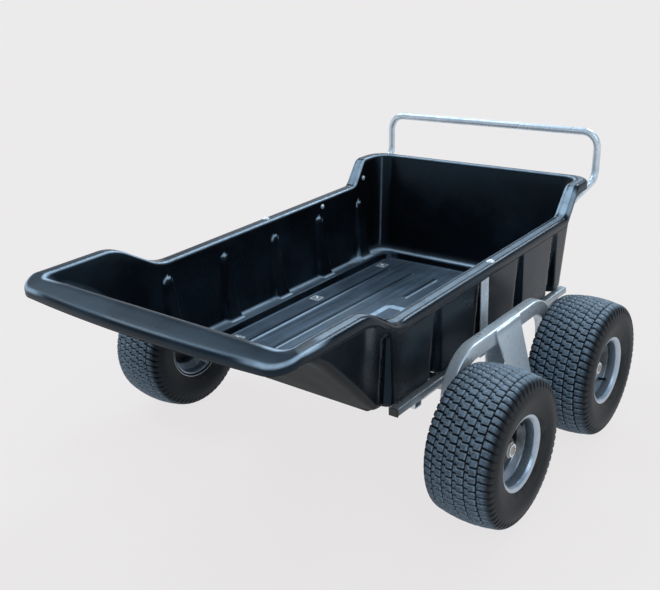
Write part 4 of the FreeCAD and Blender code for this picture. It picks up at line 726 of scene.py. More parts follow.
def moulded_plastic(colours):
    """Satin black plastic: pebbled skin, smears whose blue is a painted reflection, fine
    lengthwise scuffs on the load floor whose pale blue is partly a painted sheen, pale painted
    highlights on the bends and a brown, dull underside."""
    finish = Finish("tub_plastic")
    tree = finish.tree
    grain = finish.group("skin_grain", Scale=900.0, Fine=0.25, Waves=0.6)
    patches = grain.outputs["Patches"]
    facing = facing_up(tree)
    low = spread(tree, parts_of(tree, finish.place)["Z"], 0.385, 0.375)
    under = spread(tree, facing, -0.25, -0.60)
    # Blue smears spread at random: a painted reflection on the plastic.
    smears = maths(tree, "MULTIPLY", spread(tree, patches, 0.42, 0.80), 0.8)
    smeared = mixed(tree, smears, rgb(colours.tub), rgb(colours.tub_smear_reflection))
    fine = noise(tree, stretched(tree, finish.place, (3.0, 70.0, 3.0)), 1.0, 5.0, 0.6)
    streaks = spread(tree, fine, 0.25, 0.75, 0.55, 1.15)
    # Fewer scuffs on the beads' flat tops, where the mark of painted light is below 0: painted
    # shade.
    streaks = maths(tree, "MULTIPLY", streaks,
                    spread(tree, attribute(tree, "rubbed"), -0.8, -0.1, 0.30, 0.92))
    # Scuffs on the load floor, whose pale blue is partly a painted sheen.
    worn = maths(tree, "MULTIPLY", low, streaks)
    dust = finish.group("settled_dust", Color=smeared, Dust=rgb(colours.tub_scuffs_and_sheen),
                        Roughness=spread(tree, patches, 0.35, 0.68, 0.24, 0.36),
                        Upward=worn, Everywhere=0.006, Scale=9.0, Patchiness=0.25)
    # Painted highlight on the bends, by the mark of painted light, kept off faces that look
    # down.
    highlight = maths(tree, "MULTIPLY", spread(tree, attribute(tree, "rubbed"), 0.15, 1.0),
                spread(tree, noise(tree, finish.place, 26.0, 4.0, 0.6), 0.20, 0.60, 0.72, 1.0))
    outward = spread(tree, facing, -0.10, 0.15)
    highlight = maths(tree, "POWER", highlight, 1.4)
    rubbed = mixed(tree, maths(tree, "MULTIPLY", highlight, outward), dust.outputs["Color"],
                   rgb(colours.tub_painted_highlight))
    finish.feed("Base Color", mixed(tree, under, rubbed, rgb(colours.tub_under)))
    finish.feed("Roughness", maths(tree, "ADD", dust.outputs["Roughness"],
                                   maths(tree, "MULTIPLY", under, 0.45), clamp=True))
    finish.bump(grain.outputs["Height"], 0.0004, 0.18)
    return finish.set(Specular_IOR_Level=0.30, Specular_Tint=(0.40, 0.70, 1.0, 1.0)).material


def tyre_rubber(colours):
    """Tyre rubber: shaded grooves, scuffed block tops with painted highlights on their edges
    and on faces that look up, dark walls and brown dust at the beads, by the tyre's own marks."""
    finish = Finish("tyre_rubber")
    tree = finish.tree
    grain = finish.group("skin_grain", Scale=700.0, Fine=0.8, Waves=0.3)
    hollow, band = attribute(tree, "hollow"), attribute(tree, "band")
    scuffs = spread(tree, noise(tree, finish.place, 120.0, 5.0, 0.7), 0.30, 0.66, 0.25, 1.0)
    worn = maths(tree, "MULTIPLY", spread(tree, band, 0.0, 1.0), scuffs)
    tops = mixed(tree, worn, rgb(colours.rubber), rgb(colours.rubber_worn))
    # Paler on tread faces that look up: painted light from above.
    top_light = maths(tree, "MULTIPLY", spread(tree, facing_up(tree), 0.15, 0.95),
                     maths(tree, "MULTIPLY", worn, 0.60))
    tops = mixed(tree, top_light, tops, rgb(colours.rubber_highlight))
    # Pale rims of the grooves on worn blocks: a painted highlight.
    brim = maths(tree, "MULTIPLY", spread(tree, hollow, 0.01, 0.12),
                 spread(tree, hollow, 0.50, 0.24))
    tops = mixed(tree, maths(tree, "MULTIPLY", brim, worn), tops, rgb(colours.rubber_highlight))
    tread = mixed(tree, spread(tree, hollow, 0.28, 0.95), tops, rgb(colours.rubber_groove))
    clouds = spread(tree, noise(tree, finish.place, 22.0, 5.0, 0.65), 0.36, 0.66)
    brown = maths(tree, "MULTIPLY", spread(tree, band, 0.0, -0.9), clouds)
    dust = finish.group("settled_dust", Color=mixed(tree, brown, tread,
                                                    rgb(colours.rubber_dust)),
                        Dust=rgb(colours.rubber_dust), Roughness=0.52, Upward=0.05,
                        Everywhere=0.05, Scale=14.0)
    finish.wear(dust)
    finish.bump(grain.outputs["Height"], 0.0008, 0.5)
    return finish.set(Specular_IOR_Level=0.26, Specular_Tint=(0.66, 0.84, 1.0, 1.0)).material


def zinc_coat(name, light, dark, scale, patina, bump, metallic):
    """A zinc coat: spangled, cloudy, with faint runs."""
    finish = Finish(name)
    zinc = finish.group("zinc_spangle", Light=light, Dark=dark, Scale=scale, Patina=patina)
    finish.wear(zinc).bump(zinc.outputs["Height"], *bump)
    return finish.set(Metallic=metallic).material


def galvanised(colours, name="galvanised", lightness=1.0):
    """Hot-dipped zinc, its colours scaled by a lightness; below 1 it is a copy in painted
    shade.
    """
    light, dark = (tuple(lightness * v for v in rgb(colour_))
                   for colour_ in (colours.galvanised, colours.galvanised_dark))
    return zinc_coat(name, light, dark, 95.0, 0.50, (0.0005, 0.35), 0.52)


def weathered_zinc(colours):
    """Zinc at half its colour for the rails and cross members under the tub: painted shade."""
    return galvanised(colours, "weathered_zinc", 0.50)


def bright_zinc(colours):
    """Plated bolts and pins: smoother and brighter than the dipped steel."""
    return zinc_coat("bright_zinc", rgb(colours.zinc), rgb(colours.galvanised), 300.0, 0.3,
                     (0.0002, 0.3), 0.55)


def wheel_paint(colours):
    """Silver paint: metal flake under a clear coat, dulled by dust, and darkened deep in the
    wheel, most on faces that look down, by painted shade."""
    finish = Finish("wheel_paint")
    tree = finish.tree
    grain = finish.group("skin_grain", Scale=1500.0, Fine=0.4, Waves=0.6)
    dull = spread(tree, grain.outputs["Patches"], 0.35, 0.7, 0.24, 0.38)
    dust = finish.group("settled_dust", Color=rgb(colours.rim), Dust=rgb(colours.rim_dust),
                        Roughness=dull, Upward=0.35, Everywhere=0.15, Scale=18.0)
    # Painted shade, patchy by noise, stronger on faces that look down.
    patchy_shade = spread(tree, noise(tree, finish.place, 30.0, 4.0, 0.6), 0.2, 0.7, 0.80, 1.0)
    patchy_shade = maths(tree, "MULTIPLY", patchy_shade,
                    spread(tree, facing_up(tree), 0.75, 0.10, 0.45, 1.0))
    grime = maths(tree, "MULTIPLY", attribute(tree, "grime"), patchy_shade)
    finish.feed("Base Color", mixed(tree, grime, dust.outputs["Color"],
                                    rgb(colours.grime)))
    finish.feed("Roughness", dust.outputs["Roughness"])
    finish.bump(grain.outputs["Height"], 0.0003, 0.3)
    return finish.set(Metallic=0.70, Coat_Weight=0.25, Coat_Roughness=0.15).material


def hub_cap_steel(colours):
    """Dull plated caps on the hubs."""
    finish = Finish("hub_cap_steel")
    dust = finish.group("settled_dust", Color=rgb(colours.cap), Dust=rgb(colours.rim_dust),
                        Roughness=0.3, Upward=0.3, Everywhere=0.3, Scale=60.0)
    finish.wear(dust)
    return finish.set(Metallic=1.0).material


def black_trim(colours):
    """Dull black caps, valves and pads."""
    finish = Finish("black_trim")
    grain = finish.group("skin_grain", Scale=800.0, Fine=0.6, Waves=0.4)
    dust = finish.group("settled_dust", Color=rgb(colours.trim), Dust=rgb(colours.tub_scuffs_and_sheen),
                        Roughness=0.45, Upward=0.1, Everywhere=0.04, Scale=30.0)
    finish.wear(dust)
    finish.bump(grain.outputs["Height"], 0.0004, 0.4)
    return finish.material


FINISH_MAKERS = {
    "tub_plastic": moulded_plastic,
    "tyre_rubber": tyre_rubber,
    "galvanised": galvanised,
    "weathered_zinc": weathered_zinc,
    "zinc": bright_zinc,
    "rim_silver": wheel_paint,
    "hub_cap": hub_cap_steel,
    "black_trim": black_trim,
}
FINISHES = {}


def finish_for(name):
    """A finish by name, made once."""
    if not bpy.data.node_groups.get("settled_dust"):
        dust_group()
        grain_group()
        zinc_group()
    if name not in FINISHES:
        FINISHES[name] = FINISH_MAKERS[name](bpy.context.scene.trailer_colours)
    return FINISHES[name]


# ---------------------------------------------------------------- tub

# How many grid lines run across half the tub, along its side, and round its corners, and
# where those along and across end.
ACROSS_LINES = 42
ALONG_LINES = 150
LEAD_LINES = 6
ARC_LINES = 19
TAIL_LINES = 10
FRONT_START = 0.588
REAR_START = 0.790
ACROSS_END = 0.335

# The rings of points up the tub's wall and over its rim, by the part they lie on.
RING_COUNTS = (6, 6, 10, 4, 6, 3, 7, 2)
RING_STARTS = np.cumsum((0, *RING_COUNTS))
LEDGE, FOOT_BEND, LOWER_WALL, UPPER_WALL, INNER_BEND, RIM_TOP, OUTER_BEND, SKIRT = (
    slice(start, end) for start, end in zip(RING_STARTS, RING_STARTS[1:]))
FLOOR_SIDE = slice(LEDGE.start, FOOT_BEND.stop)
WALL = slice(LOWER_WALL.start, UPPER_WALL.stop)
RIM = slice(INNER_BEND.start, SKIRT.stop)

RIB_REACH = 0.75    # no wall ribs farther than this from the axles' middle
RIB_SIDE = 0.030    # grid lines crowd at this distance from a rib's middle
SLOPE_STEP = 0.003  # slopes are measured from this far to each side, half that on the floor
BEAD_FLANK = 0.35   # a bead's sloping flank, as a share of its half width

# How much painted highlight each part of the tub gets, from 0 to 1.
HIGHLIGHT_SHARES = {"ledge": 0.25, "ledge's outer side": 0.60, "wall's foot": 0.90, "rib heads": 0.90,
       "wall corners": 0.55, "inner bend": 0.80, "rising step": 0.55, "right rim": 0.55,
       "left rim": 0.22, "outer bend": 0.16, "front ledge": 0.35, "lip corners": 0.60,
       "panel edge": 0.50}
LIP_FADE = 0.70     # how much of the inner bend's painted highlight is missing along the lip


def rim_line(s):
    """The rim's top in side view: lip, crest, hump, dip, long rise and step, its corners
    rounded."""
    reach = AXLE_X - TUB_LOW[0]
    front = TUB_HIGH[0] - AXLE_X
    top = TUB_HIGH[2]
    margin = 0.06
    fall = margin * (s.lip_crest - s.lip_height) / (reach - s.lip_inner)
    points = [(-reach - margin, s.lip_height - fall), (-s.lip_inner, s.lip_crest),
              (-s.hump_behind, s.hump_height), (-s.dip_behind, s.dip_height),
              (s.step_foot, s.step_foot_height), (s.step_top, top), (front + margin, top)]
    bends = [0, s.lip_crest_bend, s.wave_bend, s.wave_bend, s.step_bend, s.step_bend, 0]
    return rounded_line(points, bends, 48)


def rim_height(s, x):
    """The height of the rim's line at a place, by straight interpolation."""
    line = rim_line(s)
    return np.interp(x, line[:, 0], line[:, 1])


def wall_half(s, x, z):
    """Half the inside width: the ledge's half width, plus the rise times the draft, plus a
    flare behind the dip that grows in proportion to the rise."""
    rise = z - s.ledge_height
    flare = soft_step(-x, s.wall_flare, s.wall_flare_run) * s.wall_flare_wide
    return (s.ledge_half + rise * math.tan(s.side_draft)
            + flare * rise / (s.hump_height - s.ledge_height))


def wall_front(s, z):
    """Inside of the front wall: its place at the ledge, plus the rise times the draft."""
    return s.ledge_front + (z - s.ledge_height) * math.tan(s.front_draft)


def slope_height(s, x):
    """The rear floor: it rises one to one behind the knee, and more gently below the lip.
    The lower of the two planes counts, joined by a hyperbola."""
    steep = s.ledge_height - s.panel_drop - (x + s.knee_behind)
    gentle = s.slope_ease_height - (x + s.slope_ease) * math.tan(s.lip_slope)
    return -smooth_max(-steep, -gentle, s.slope_soft)


def corner_distance(x, y, front, half, radius):
    """Distance outside a shape open to the rear with rounded front corners, negative
    inside: the length of the parts by which (x, y) passes the inset corner, less r."""
    over_x = x - (front - radius)
    over_y = np.abs(y) - (half - radius)
    outside = np.hypot(np.maximum(over_x, 0), np.maximum(over_y, 0))
    return outside + np.minimum(np.maximum(over_x, over_y), 0) - radius


def floor_beads(s, x, y):
    """Raised beads: each rises where the distance to its centre line is under half its
    width."""
    long_bead = 0.05 - s.knee_behind
    height = 0.0
    for left, rear in ((s.bead_inner, s.short_bead), (s.bead_middle, long_bead),
                       (s.bead_outer, long_bead)):
        away = np.hypot(x - np.clip(x, rear, s.bead_front), np.abs(y) - left)
        height = height + smooth((s.bead_half - away) / (BEAD_FLANK * s.bead_half))
    return s.bead_high * height


def floor_relief(s, x, y):
    """What the beads and the recess add to the floor panel."""
    middle = (s.recess_front - s.recess_rear) / 2
    reach = (s.recess_front + s.recess_rear) / 2
    inside = -corner_distance(np.abs(x - middle), y, reach, s.recess_half, 0.02)
    return floor_beads(s, x, y) - s.recess_deep * smooth(inside / s.recess_round + 0.5)


def floor_height(s, x, y):
    """The load floor: ledge, panel and its relief, joined to the slope by a hyperbola."""
    outside = corner_distance(x, y, s.panel_front, s.panel_half, s.panel_corner)
    level = s.ledge_height - s.panel_drop * (1 - smooth(outside / s.riser + 0.5))
    level = level + floor_relief(s, x, y)
    return smooth_max(level, slope_height(s, x), s.knee_soft)


def relief_light(s, x, y):
    """Painted light on the floor's relief, 0 to 1: a painted highlight where it is steep, by
    the length of its slope, found from the heights a step to each side. Less 1 on the flat
    tops of the beads, a painted shade, and more highlight along the panel's edge, as a bell
    curve of the distance from it. None of it behind the knee."""
    step = SLOPE_STEP / 2
    steepest = 0.42
    brink_half = 0.004
    along = floor_relief(s, x + step, y) - floor_relief(s, x - step, y)
    across = floor_relief(s, x, y + step) - floor_relief(s, x, y - step)
    steep = np.hypot(along, across) / (2 * step)
    tops = soft_step(floor_beads(s, x, y) / s.bead_high, 0.75, 0.25)
    outside = corner_distance(x, y, s.panel_front, s.panel_half, s.panel_corner)
    from_brink = outside + 0.5 * s.riser + brink_half
    brink = HIGHLIGHT_SHARES["panel edge"] * np.exp(-(from_brink / brink_half) ** 2)
    ahead = soft_step(x, 0.02 - s.knee_behind, 0.03)
    return (np.clip(steep / steepest, 0, 1) + brink - tops) * ahead


def rib_depth(s, x, z):
    """How far the wall ribs stand in: a depth that shrinks upwards, times a soft step of the
    distance inside a tapering outline with a round head."""
    nearest = np.clip(np.round((x - s.rib_middle) / s.rib_pitch), -2, 2)
    away = np.abs(x - s.rib_middle - nearest * s.rib_pitch)
    head = s.rib_top - s.rib_head_half
    rise = np.clip((z - s.ledge_height) / (head - s.ledge_height), 0, 1)
    half = s.rib_foot_half + (s.rib_head_half - s.rib_foot_half) * rise
    inside = half - np.hypot(away, np.maximum(z - head, 0))
    deep = s.rib_foot_deep + (s.rib_head_deep - s.rib_foot_deep) * rise
    return deep * smooth(inside / s.rib_edge)


def along_lines(s):
    """Grid lines along the tub, close together at rib edges, knee, step and recess."""
    edges = [s.rib_middle + k * s.rib_pitch + side * RIB_SIDE for k in range(-2, 3)
             for side in (-1, 1)]
    spots = edges + [-s.knee_behind, -s.recess_rear, s.recess_front, s.step_foot]
    return crowded(-REAR_START, FRONT_START, ALONG_LINES, spots, 0.012, 2.4)


def across_lines(s):
    """Grid lines from the middle outwards, close together at the flanks of the beads."""
    flank = 0.82 * s.bead_half
    spots = [bead + side * flank for bead in (s.bead_inner, s.bead_middle, s.bead_outer)
             for side in (-1, 1)]
    return crowded(0.0, ACROSS_END, ACROSS_LINES, spots, 0.004, 8.0)


def turned_corner(start, corner, end, radius, first, last):
    """The way round a corner in fixed numbers of lines: a run, an arc and a run."""
    line = rounded_line([start, corner, end], [0, radius, 0], ARC_LINES)
    lead = run_between(line[0], line[1], np.linspace(0, 1, first + 1)[1:])
    tail = run_between(line[-2], line[-1], np.linspace(0, 1, last + 1)[:-1])
    return np.concatenate([lead[:-1], line[1:-1], tail])


def half_loop(s, side, front, rear, rear_corner, front_bend, rear_bend):
    """Right half of an outline in plan, from the middle of the rear to that of the front.
    side(x) is its half width, and rear(y) the place of its rear edge."""
    along = along_lines(s)
    across = across_lines(s)
    back = np.stack([rear(across), -across], 1)
    flank = np.stack([along, -side(along)], 1)
    ahead = np.stack([np.full(len(across), front), -across[::-1]], 1)
    corner_side = -float(side(np.array([rear_corner]))[0])
    rear_turn = turned_corner(back[-1], (rear_corner, corner_side), flank[0], rear_bend,
                              LEAD_LINES, TAIL_LINES)
    front_turn = turned_corner(flank[-1], (front, flank[-1, 1]), ahead[0], front_bend,
                               TAIL_LINES, LEAD_LINES)
    return np.concatenate([back, rear_turn, flank, front_turn, ahead])


def whole_loop(half):
    """A closed outline: the right half and its mirror image, the shared ends once."""
    return np.concatenate([half, half[-2:0:-1] * np.array([1.0, -1.0])])


def raised(loop, height):
    """An outline in plan with a height for each of its points."""
    return np.concatenate([loop, height[:, None]], 1)


def outline_loops(s):
    """The tub's guiding outlines: floor edge, wall foot, rim's inner edge, rim's outer
    edge."""
    reach = AXLE_X - TUB_LOW[0]
    lip_half = TUB_HIGH[1]
    slope_turn = 0.023
    flank_inset = 0.045
    front_inset = 0.014
    slope_inset = 0.020
    foot_rear = s.lip_inner - slope_turn

    def foot_side(x):
        return wall_half(s, x, smooth_max(s.ledge_height, slope_height(s, x), s.knee_soft))

    def rim_side(x):
        flare = soft_step(-x, s.flare_start, s.flare_end - s.flare_start)
        return s.rim_half + (lip_half - s.rim_half) * flare

    def level(place):
        return lambda y: np.full(len(y), -place)

    def bowed(y):
        return -reach + s.lip_bow * (y / lip_half) ** 2

    patch = half_loop(s, lambda x: np.full(len(x), s.ledge_half - flank_inset),
                      s.ledge_front - front_inset, level(foot_rear - slope_inset),
                      -(foot_rear - slope_inset), 0.030, 0.028)
    foot = half_loop(s, foot_side, s.ledge_front, level(foot_rear), -foot_rear,
                     s.front_corner, 0.035)
    inner = half_loop(s, lambda x: wall_half(s, x, rim_height(s, x)),
                      wall_front(s, TUB_HIGH[2]), level(s.lip_inner), -s.lip_inner,
                      s.front_corner, s.lip_corner)
    outer = half_loop(s, rim_side, TUB_HIGH[0] - AXLE_X, bowed, s.lip_bow - reach,
                      s.rim_corner, s.rim_corner)
    return patch, foot, inner, outer


def along_way(start, towards, setback):
    """The points at a setback from start on the way towards others, though never past
    0.45 of the way."""
    way = towards - start
    far = np.linalg.norm(way, axis=1)
    way /= far[:, None] + 1e-12
    return start + way * np.minimum(setback, 0.45 * far)[:, None]


def shares_of(part):
    """Equal steps up to 1, one for each ring of a part of the wall."""
    return np.linspace(0, 1, part.stop - part.start + 1)[1:]


def ring_rows(s, patch, foot, inner, outer):
    """The tub from the floor's edge up the wall, over the rim and down its skirt: straight
    runs and round bends between the guiding outlines, with the ribs pushed in."""
    floor_edge = raised(patch, floor_height(s, patch[:, 0], patch[:, 1]))
    wall_foot = raised(foot, floor_height(s, foot[:, 0], foot[:, 1]))
    rim_in = raised(inner, rim_height(s, inner[:, 0]))
    rim_out = raised(outer, rim_height(s, outer[:, 0]))
    at_lip = soft_step(-outer[:, 0], 0.89, 0.05)
    skirt = s.skirt + (s.lip_skirt - s.skirt) * at_lip
    hem = rim_out - skirt[:, None] * np.array([0.0, 0.0, 1.0])
    beside_slope = soft_step(-foot[:, 0], s.knee_behind, 0.10) * (1 - at_lip)
    foot_setback = s.foot_round + (s.slope_round - s.foot_round) * beside_slope
    in_setback = s.edge_round + (s.lip_round - s.edge_round) * at_lip
    ledge_end = along_way(wall_foot, floor_edge, foot_setback)
    wall_start = along_way(wall_foot, rim_in, foot_setback)
    wall_end = along_way(rim_in, wall_foot, in_setback)
    top_start = along_way(rim_in, rim_out, in_setback)
    top_end = along_way(rim_out, rim_in, s.rim_round)
    skirt_start = along_way(rim_out, hem, s.rim_round)
    low, high = wall_start[:, 2], wall_end[:, 2]
    heads = np.clip((s.rib_top - low) / np.maximum(high - low, 1e-6), 0.3, 0.92)
    rib_head = wall_start + (wall_end - wall_start) * heads[:, None]
    over_ledge = np.linspace(0, 1, RING_COUNTS[0])
    rows = np.concatenate([
        run_between(floor_edge, ledge_end, over_ledge),
        bend_between(ledge_end, wall_foot, wall_start, shares_of(FOOT_BEND)),
        run_between(wall_start, rib_head, 1 - (1 - shares_of(LOWER_WALL)) ** 1.7),
        run_between(rib_head, wall_end, shares_of(UPPER_WALL)),
        bend_between(wall_end, rim_in, top_start, shares_of(INNER_BEND)),
        run_between(top_start, top_end, shares_of(RIM_TOP)),
        bend_between(top_end, rim_out, skirt_start, shares_of(OUTER_BEND)),
        run_between(skirt_start, hem, shares_of(SKIRT))])
    weight = np.ones((len(rows), 1))
    weight[LEDGE] = over_ledge[:, None]
    edges = ring_highlights(s, rows, weight)
    depth = rib_depth(s, rows[..., 0], rows[..., 2]) * weight
    rows[..., 1] -= np.sign(rows[..., 1]) * depth * (np.abs(rows[..., 0]) < RIB_REACH)
    return rows, edges


def ring_highlights(s, rows, weight):
    """Where the plastic gets a painted highlight, 0 to 1, as a sum: by t squared over the
    ledge, by sin(pi t) round the rim's bends, by the fall of the ribs' depth at their heads,
    and in soft steps at the wall's front corners, the rim's rising step and top, more on the
    right than on the left, the ledge's front and the lip's corners. The lip's inner bend and
    the ledge behind the knee fade out."""
    x, y, z = rows[..., 0], rows[..., 1], rows[..., 2]
    share_ = np.linspace(0, 1, RING_COUNTS[0])[:, None] ** 2
    turn = np.sin(np.pi * shares_of(OUTER_BEND))[:, None]
    edges = np.zeros(rows.shape[:2])
    edges[LEDGE] += HIGHLIGHT_SHARES["ledge"] + HIGHLIGHT_SHARES["ledge's outer side"] * share_
    edges[FOOT_BEND] += HIGHLIGHT_SHARES["wall's foot"] * share_[::-1]
    edges[INNER_BEND] += HIGHLIGHT_SHARES["inner bend"] * turn[:RING_COUNTS[4]] ** 2
    edges[OUTER_BEND] += HIGHLIGHT_SHARES["outer bend"] * turn
    step = SLOPE_STEP
    falls = (rib_depth(s, x, z - step) - rib_depth(s, x, z + step)) / (2 * step)
    on_wall = (np.abs(x) < RIB_REACH) & (weight == 1)
    edges += np.clip(1.6 * falls - 0.2, 0, HIGHLIGHT_SHARES["rib heads"]) * on_wall
    rising = (rim_height(s, x + step) - rim_height(s, x - step)) / (2 * step)
    edges[RIM] += HIGHLIGHT_SHARES["rising step"] * soft_step(rising, 0.24, 1.2)[RIM]
    inset = np.minimum(wall_front(s, z) - x, wall_half(s, x, z) - np.abs(y))
    corner = np.clip(inset / (0.29 * s.front_corner), 0, 1) ** 3
    edges[WALL] += (HIGHLIGHT_SHARES["wall corners"] * corner * (x > 0.4))[WALL]
    side = np.where(y < 0, HIGHLIGHT_SHARES["right rim"], HIGHLIGHT_SHARES["left rim"])
    edges[RIM_TOP] += (side * soft_step(x, -0.90, 0.06))[RIM_TOP]
    edges[FLOOR_SIDE] += (HIGHLIGHT_SHARES["front ledge"] * soft_step(x, 0.42, 0.05))[FLOOR_SIDE]
    lip_end = soft_step(np.abs(y), 0.32, 0.12)
    at_lip = soft_step(-x, 0.88, 0.05)
    edges[INNER_BEND] *= (1 - LIP_FADE * at_lip * (1 - lip_end))[INNER_BEND]
    lip_corner = lip_end * soft_step(-x, 0.80, 0.08)
    edges[OUTER_BEND] += HIGHLIGHT_SHARES["lip corners"] * turn * lip_corner[OUTER_BEND]
    edges[FLOOR_SIDE] *= (1 - soft_step(-x, s.knee_behind, 0.06))[FLOOR_SIDE]
    return np.clip(edges, 0, 1)


def floor_patch(s, half):
    """The floor inside its edge loop: each point is the sum of the two edge curves' blends
    across and along, less the blend of the four corners, lifted to the floor's height."""
    turn = ACROSS_LINES + LEAD_LINES - 1 + ARC_LINES // 2
    right = half[turn:len(half) - turn]
    flip = np.array([1.0, -1.0])
    left = right * flip
    rear = np.concatenate([half[turn::-1], half[1:turn + 1] * flip])
    front_half = half[len(half) - turn - 1:]
    front = np.concatenate([front_half, front_half[-2::-1] * flip])
    u = ((right[:, 0] - right[0, 0]) / (right[-1, 0] - right[0, 0]))[:, None, None]
    v = ((rear[:, 1] - rear[0, 1]) / (rear[-1, 1] - rear[0, 1]))[None, :, None]
    across = (1 - v) * right[:, None] + v * left[:, None]
    along = (1 - u) * rear[None] + u * front[None]
    corners = ((1 - u) * ((1 - v) * right[0] + v * left[0])
               + u * ((1 - v) * right[-1] + v * left[-1]))
    flat = across + along - corners
    points = np.concatenate([flat, floor_height(s, flat[..., :1], flat[..., 1:])], -1)
    return points, relief_light(s, flat[..., 0], flat[..., 1])


def tub_mesh(s):
    """The tub's upper skin: its rings and its floor patch, each with its mark of painted
    light.
    """
    patch, foot, inner, outer = outline_loops(s)
    shell = Shell()
    ring, edges = ring_rows(s, *(whole_loop(loop) for loop in (patch, foot, inner, outer)))
    shell.grid(ring, wrap_columns=True, marks={"rubbed": edges})
    floor, edges = floor_patch(s, patch)
    shell.grid(floor, marks={"rubbed": edges})
    shell.faces = [faces[:, ::-1] for faces in shell.faces]
    return shell.mesh("tub_moulding", outward=False)


class TRAILER_OT_tub(bpy.types.Operator):
    """Mould the tub: one even wall with ribs, ledge, floor panel, rim and dump lip"""
    bl_idname = "trailer.tub"
    bl_label = "Tub"

    def execute(self, context):
        s = context.scene.trailer_tub
        tub = add_piece("tub_moulding", tub_mesh(s), "tub_plastic", "bed", ["tub"])
        wall = tub.modifiers.new("wall", "SOLIDIFY")
        wall.thickness = s.wall
        wall.offset = -1.0
        wall.use_even_offset = True
        wall.use_quality_normals = True
        return {"FINISHED"}


# ---------------------------------------------------------------- wheels

TYRE_TURNS = (0.37, 0.11)  # how far tyres of the two ends and sides are turned, in radians
VALVE_TURNS = {"rear_right": 1.0, "front_right": 5.4, "rear_left": 0.6, "front_left": 2.9}
VALVE_LEAN = 0.35


def tyre_section(s):
    """A tyre's section as (along, radius): a crowned tread, round shoulders, bulging walls
    and beads, from the inner bead to the outer one."""
    t = np.linspace(0.0, 0.82, 12) * s.tread_half
    tread = np.stack([t, TYRE_RADIUS - s.crown * (t / s.tread_half) ** 2], 1)
    shoulder = (s.half_width - 0.009, TYRE_RADIUS - s.crown - 0.0015)
    wall = [(s.half_width + 0.0012, 0.166), (s.half_width - 0.009, 0.127),
            (s.half_width - 0.0205, s.bead_radius)]
    points = [tuple(p) for p in tread] + [shoulder] + wall
    radii = [0] * len(tread) + [s.shoulder, 0.07, 0.05, 0]
    half = rounded_line(points, radii, 16)
    return np.concatenate([half[::-1] * np.array([-1.0, 1.0]), half[1:]])


def tread_height(s, across, around):
    """Depth of the tread. Columns of blocks, each half a pitch on from the last, stand
    between grooves; inside a block the pitch shifts by a soft step, which makes its Z. Past
    the columns one lug a pitch sweeps over the shoulder and dies out on the wall."""
    pitch = 2 * math.pi * TYRE_RADIUS / s.pitches
    edge = 2 * s.block_wide
    beyond = np.abs(across) - edge
    outer = beyond > 0
    column = np.clip(np.floor((across + edge) / s.block_wide), -1, 4)
    inside = (across + edge) / s.block_wide - column
    lug_reach, lug_sweep = 0.045, 0.35
    lug = np.sign(across) * lug_sweep * np.clip(beyond / lug_reach, 0, 1) ** 1.5
    shift = np.where(outer, lug, s.step * soft_step(inside, 0.60, 0.12))
    turn = around * s.pitches / (2 * math.pi) + 0.5 * (column % 2) + shift
    from_side = np.minimum(inside, 1 - inside) * s.block_wide
    from_side = np.where(outer, beyond, from_side)
    from_end = np.abs(turn - np.round(turn)) * pitch
    flank = 0.0024
    side = soft_step(from_side, 0.32 * s.groove, flank)
    end = soft_step(from_end, 0.50 * s.groove, flank)
    fade = 1 - soft_step(np.abs(across), 0.100, 0.024)
    return -s.groove_deep * (1 - side * end) * fade


def tyre_points(s):
    """The tyre: its section turned about the axle, each point moved along the section's
    normal by the tread's height, and closed over the inside of its beads. Its marks are how
    deep a point lies in a groove, and its band: 1 on the tread, 0 on the side walls and -1
    at the beads."""
    section = tyre_section(s)
    steps = np.linalg.norm(np.diff(section, axis=0), axis=1)
    run = np.concatenate([[0.0], np.cumsum(steps)])
    run -= run[-1] / 2
    edge = 2 * s.block_wide
    lug_end = 0.112
    half = np.concatenate([np.linspace(0, edge, 21), np.linspace(edge, lug_end, 19)[1:],
                           np.linspace(lug_end, run[-1], 14)[1:]])
    across = np.concatenate([-half[::-1], half[1:]])
    place = np.stack([np.interp(across, run, section[:, k]) for k in range(2)], 1)
    ahead = np.gradient(place, across, axis=0)
    normal = np.stack([-ahead[:, 1], ahead[:, 0]], 1)
    normal /= np.linalg.norm(normal, axis=1)[:, None]
    count = s.pitches * s.per_pitch
    around = np.linspace(0, 2 * math.pi, count, endpoint=False)
    height = tread_height(s, across[:, None], around[None, :])
    worn = 1 - soft_step(np.abs(across), 0.074, 0.034)
    dusty = 1 - soft_step(place[:, 1], s.bead_radius, 0.052)
    band = np.broadcast_to((worn - dusty)[:, None], height.shape)
    marks = {"hollow": -height / s.groove_deep, "band": band}
    along = place[:, :1] + normal[:, :1] * height
    radius = place[:, 1:] + normal[:, 1:] * height
    rows = np.stack([radius * np.cos(around), along, radius * np.sin(around)], -1)
    marks = {label: np.concatenate([values, values[:1]]) for label, values in marks.items()}
    return np.concatenate([rows, rows[:1]]), marks


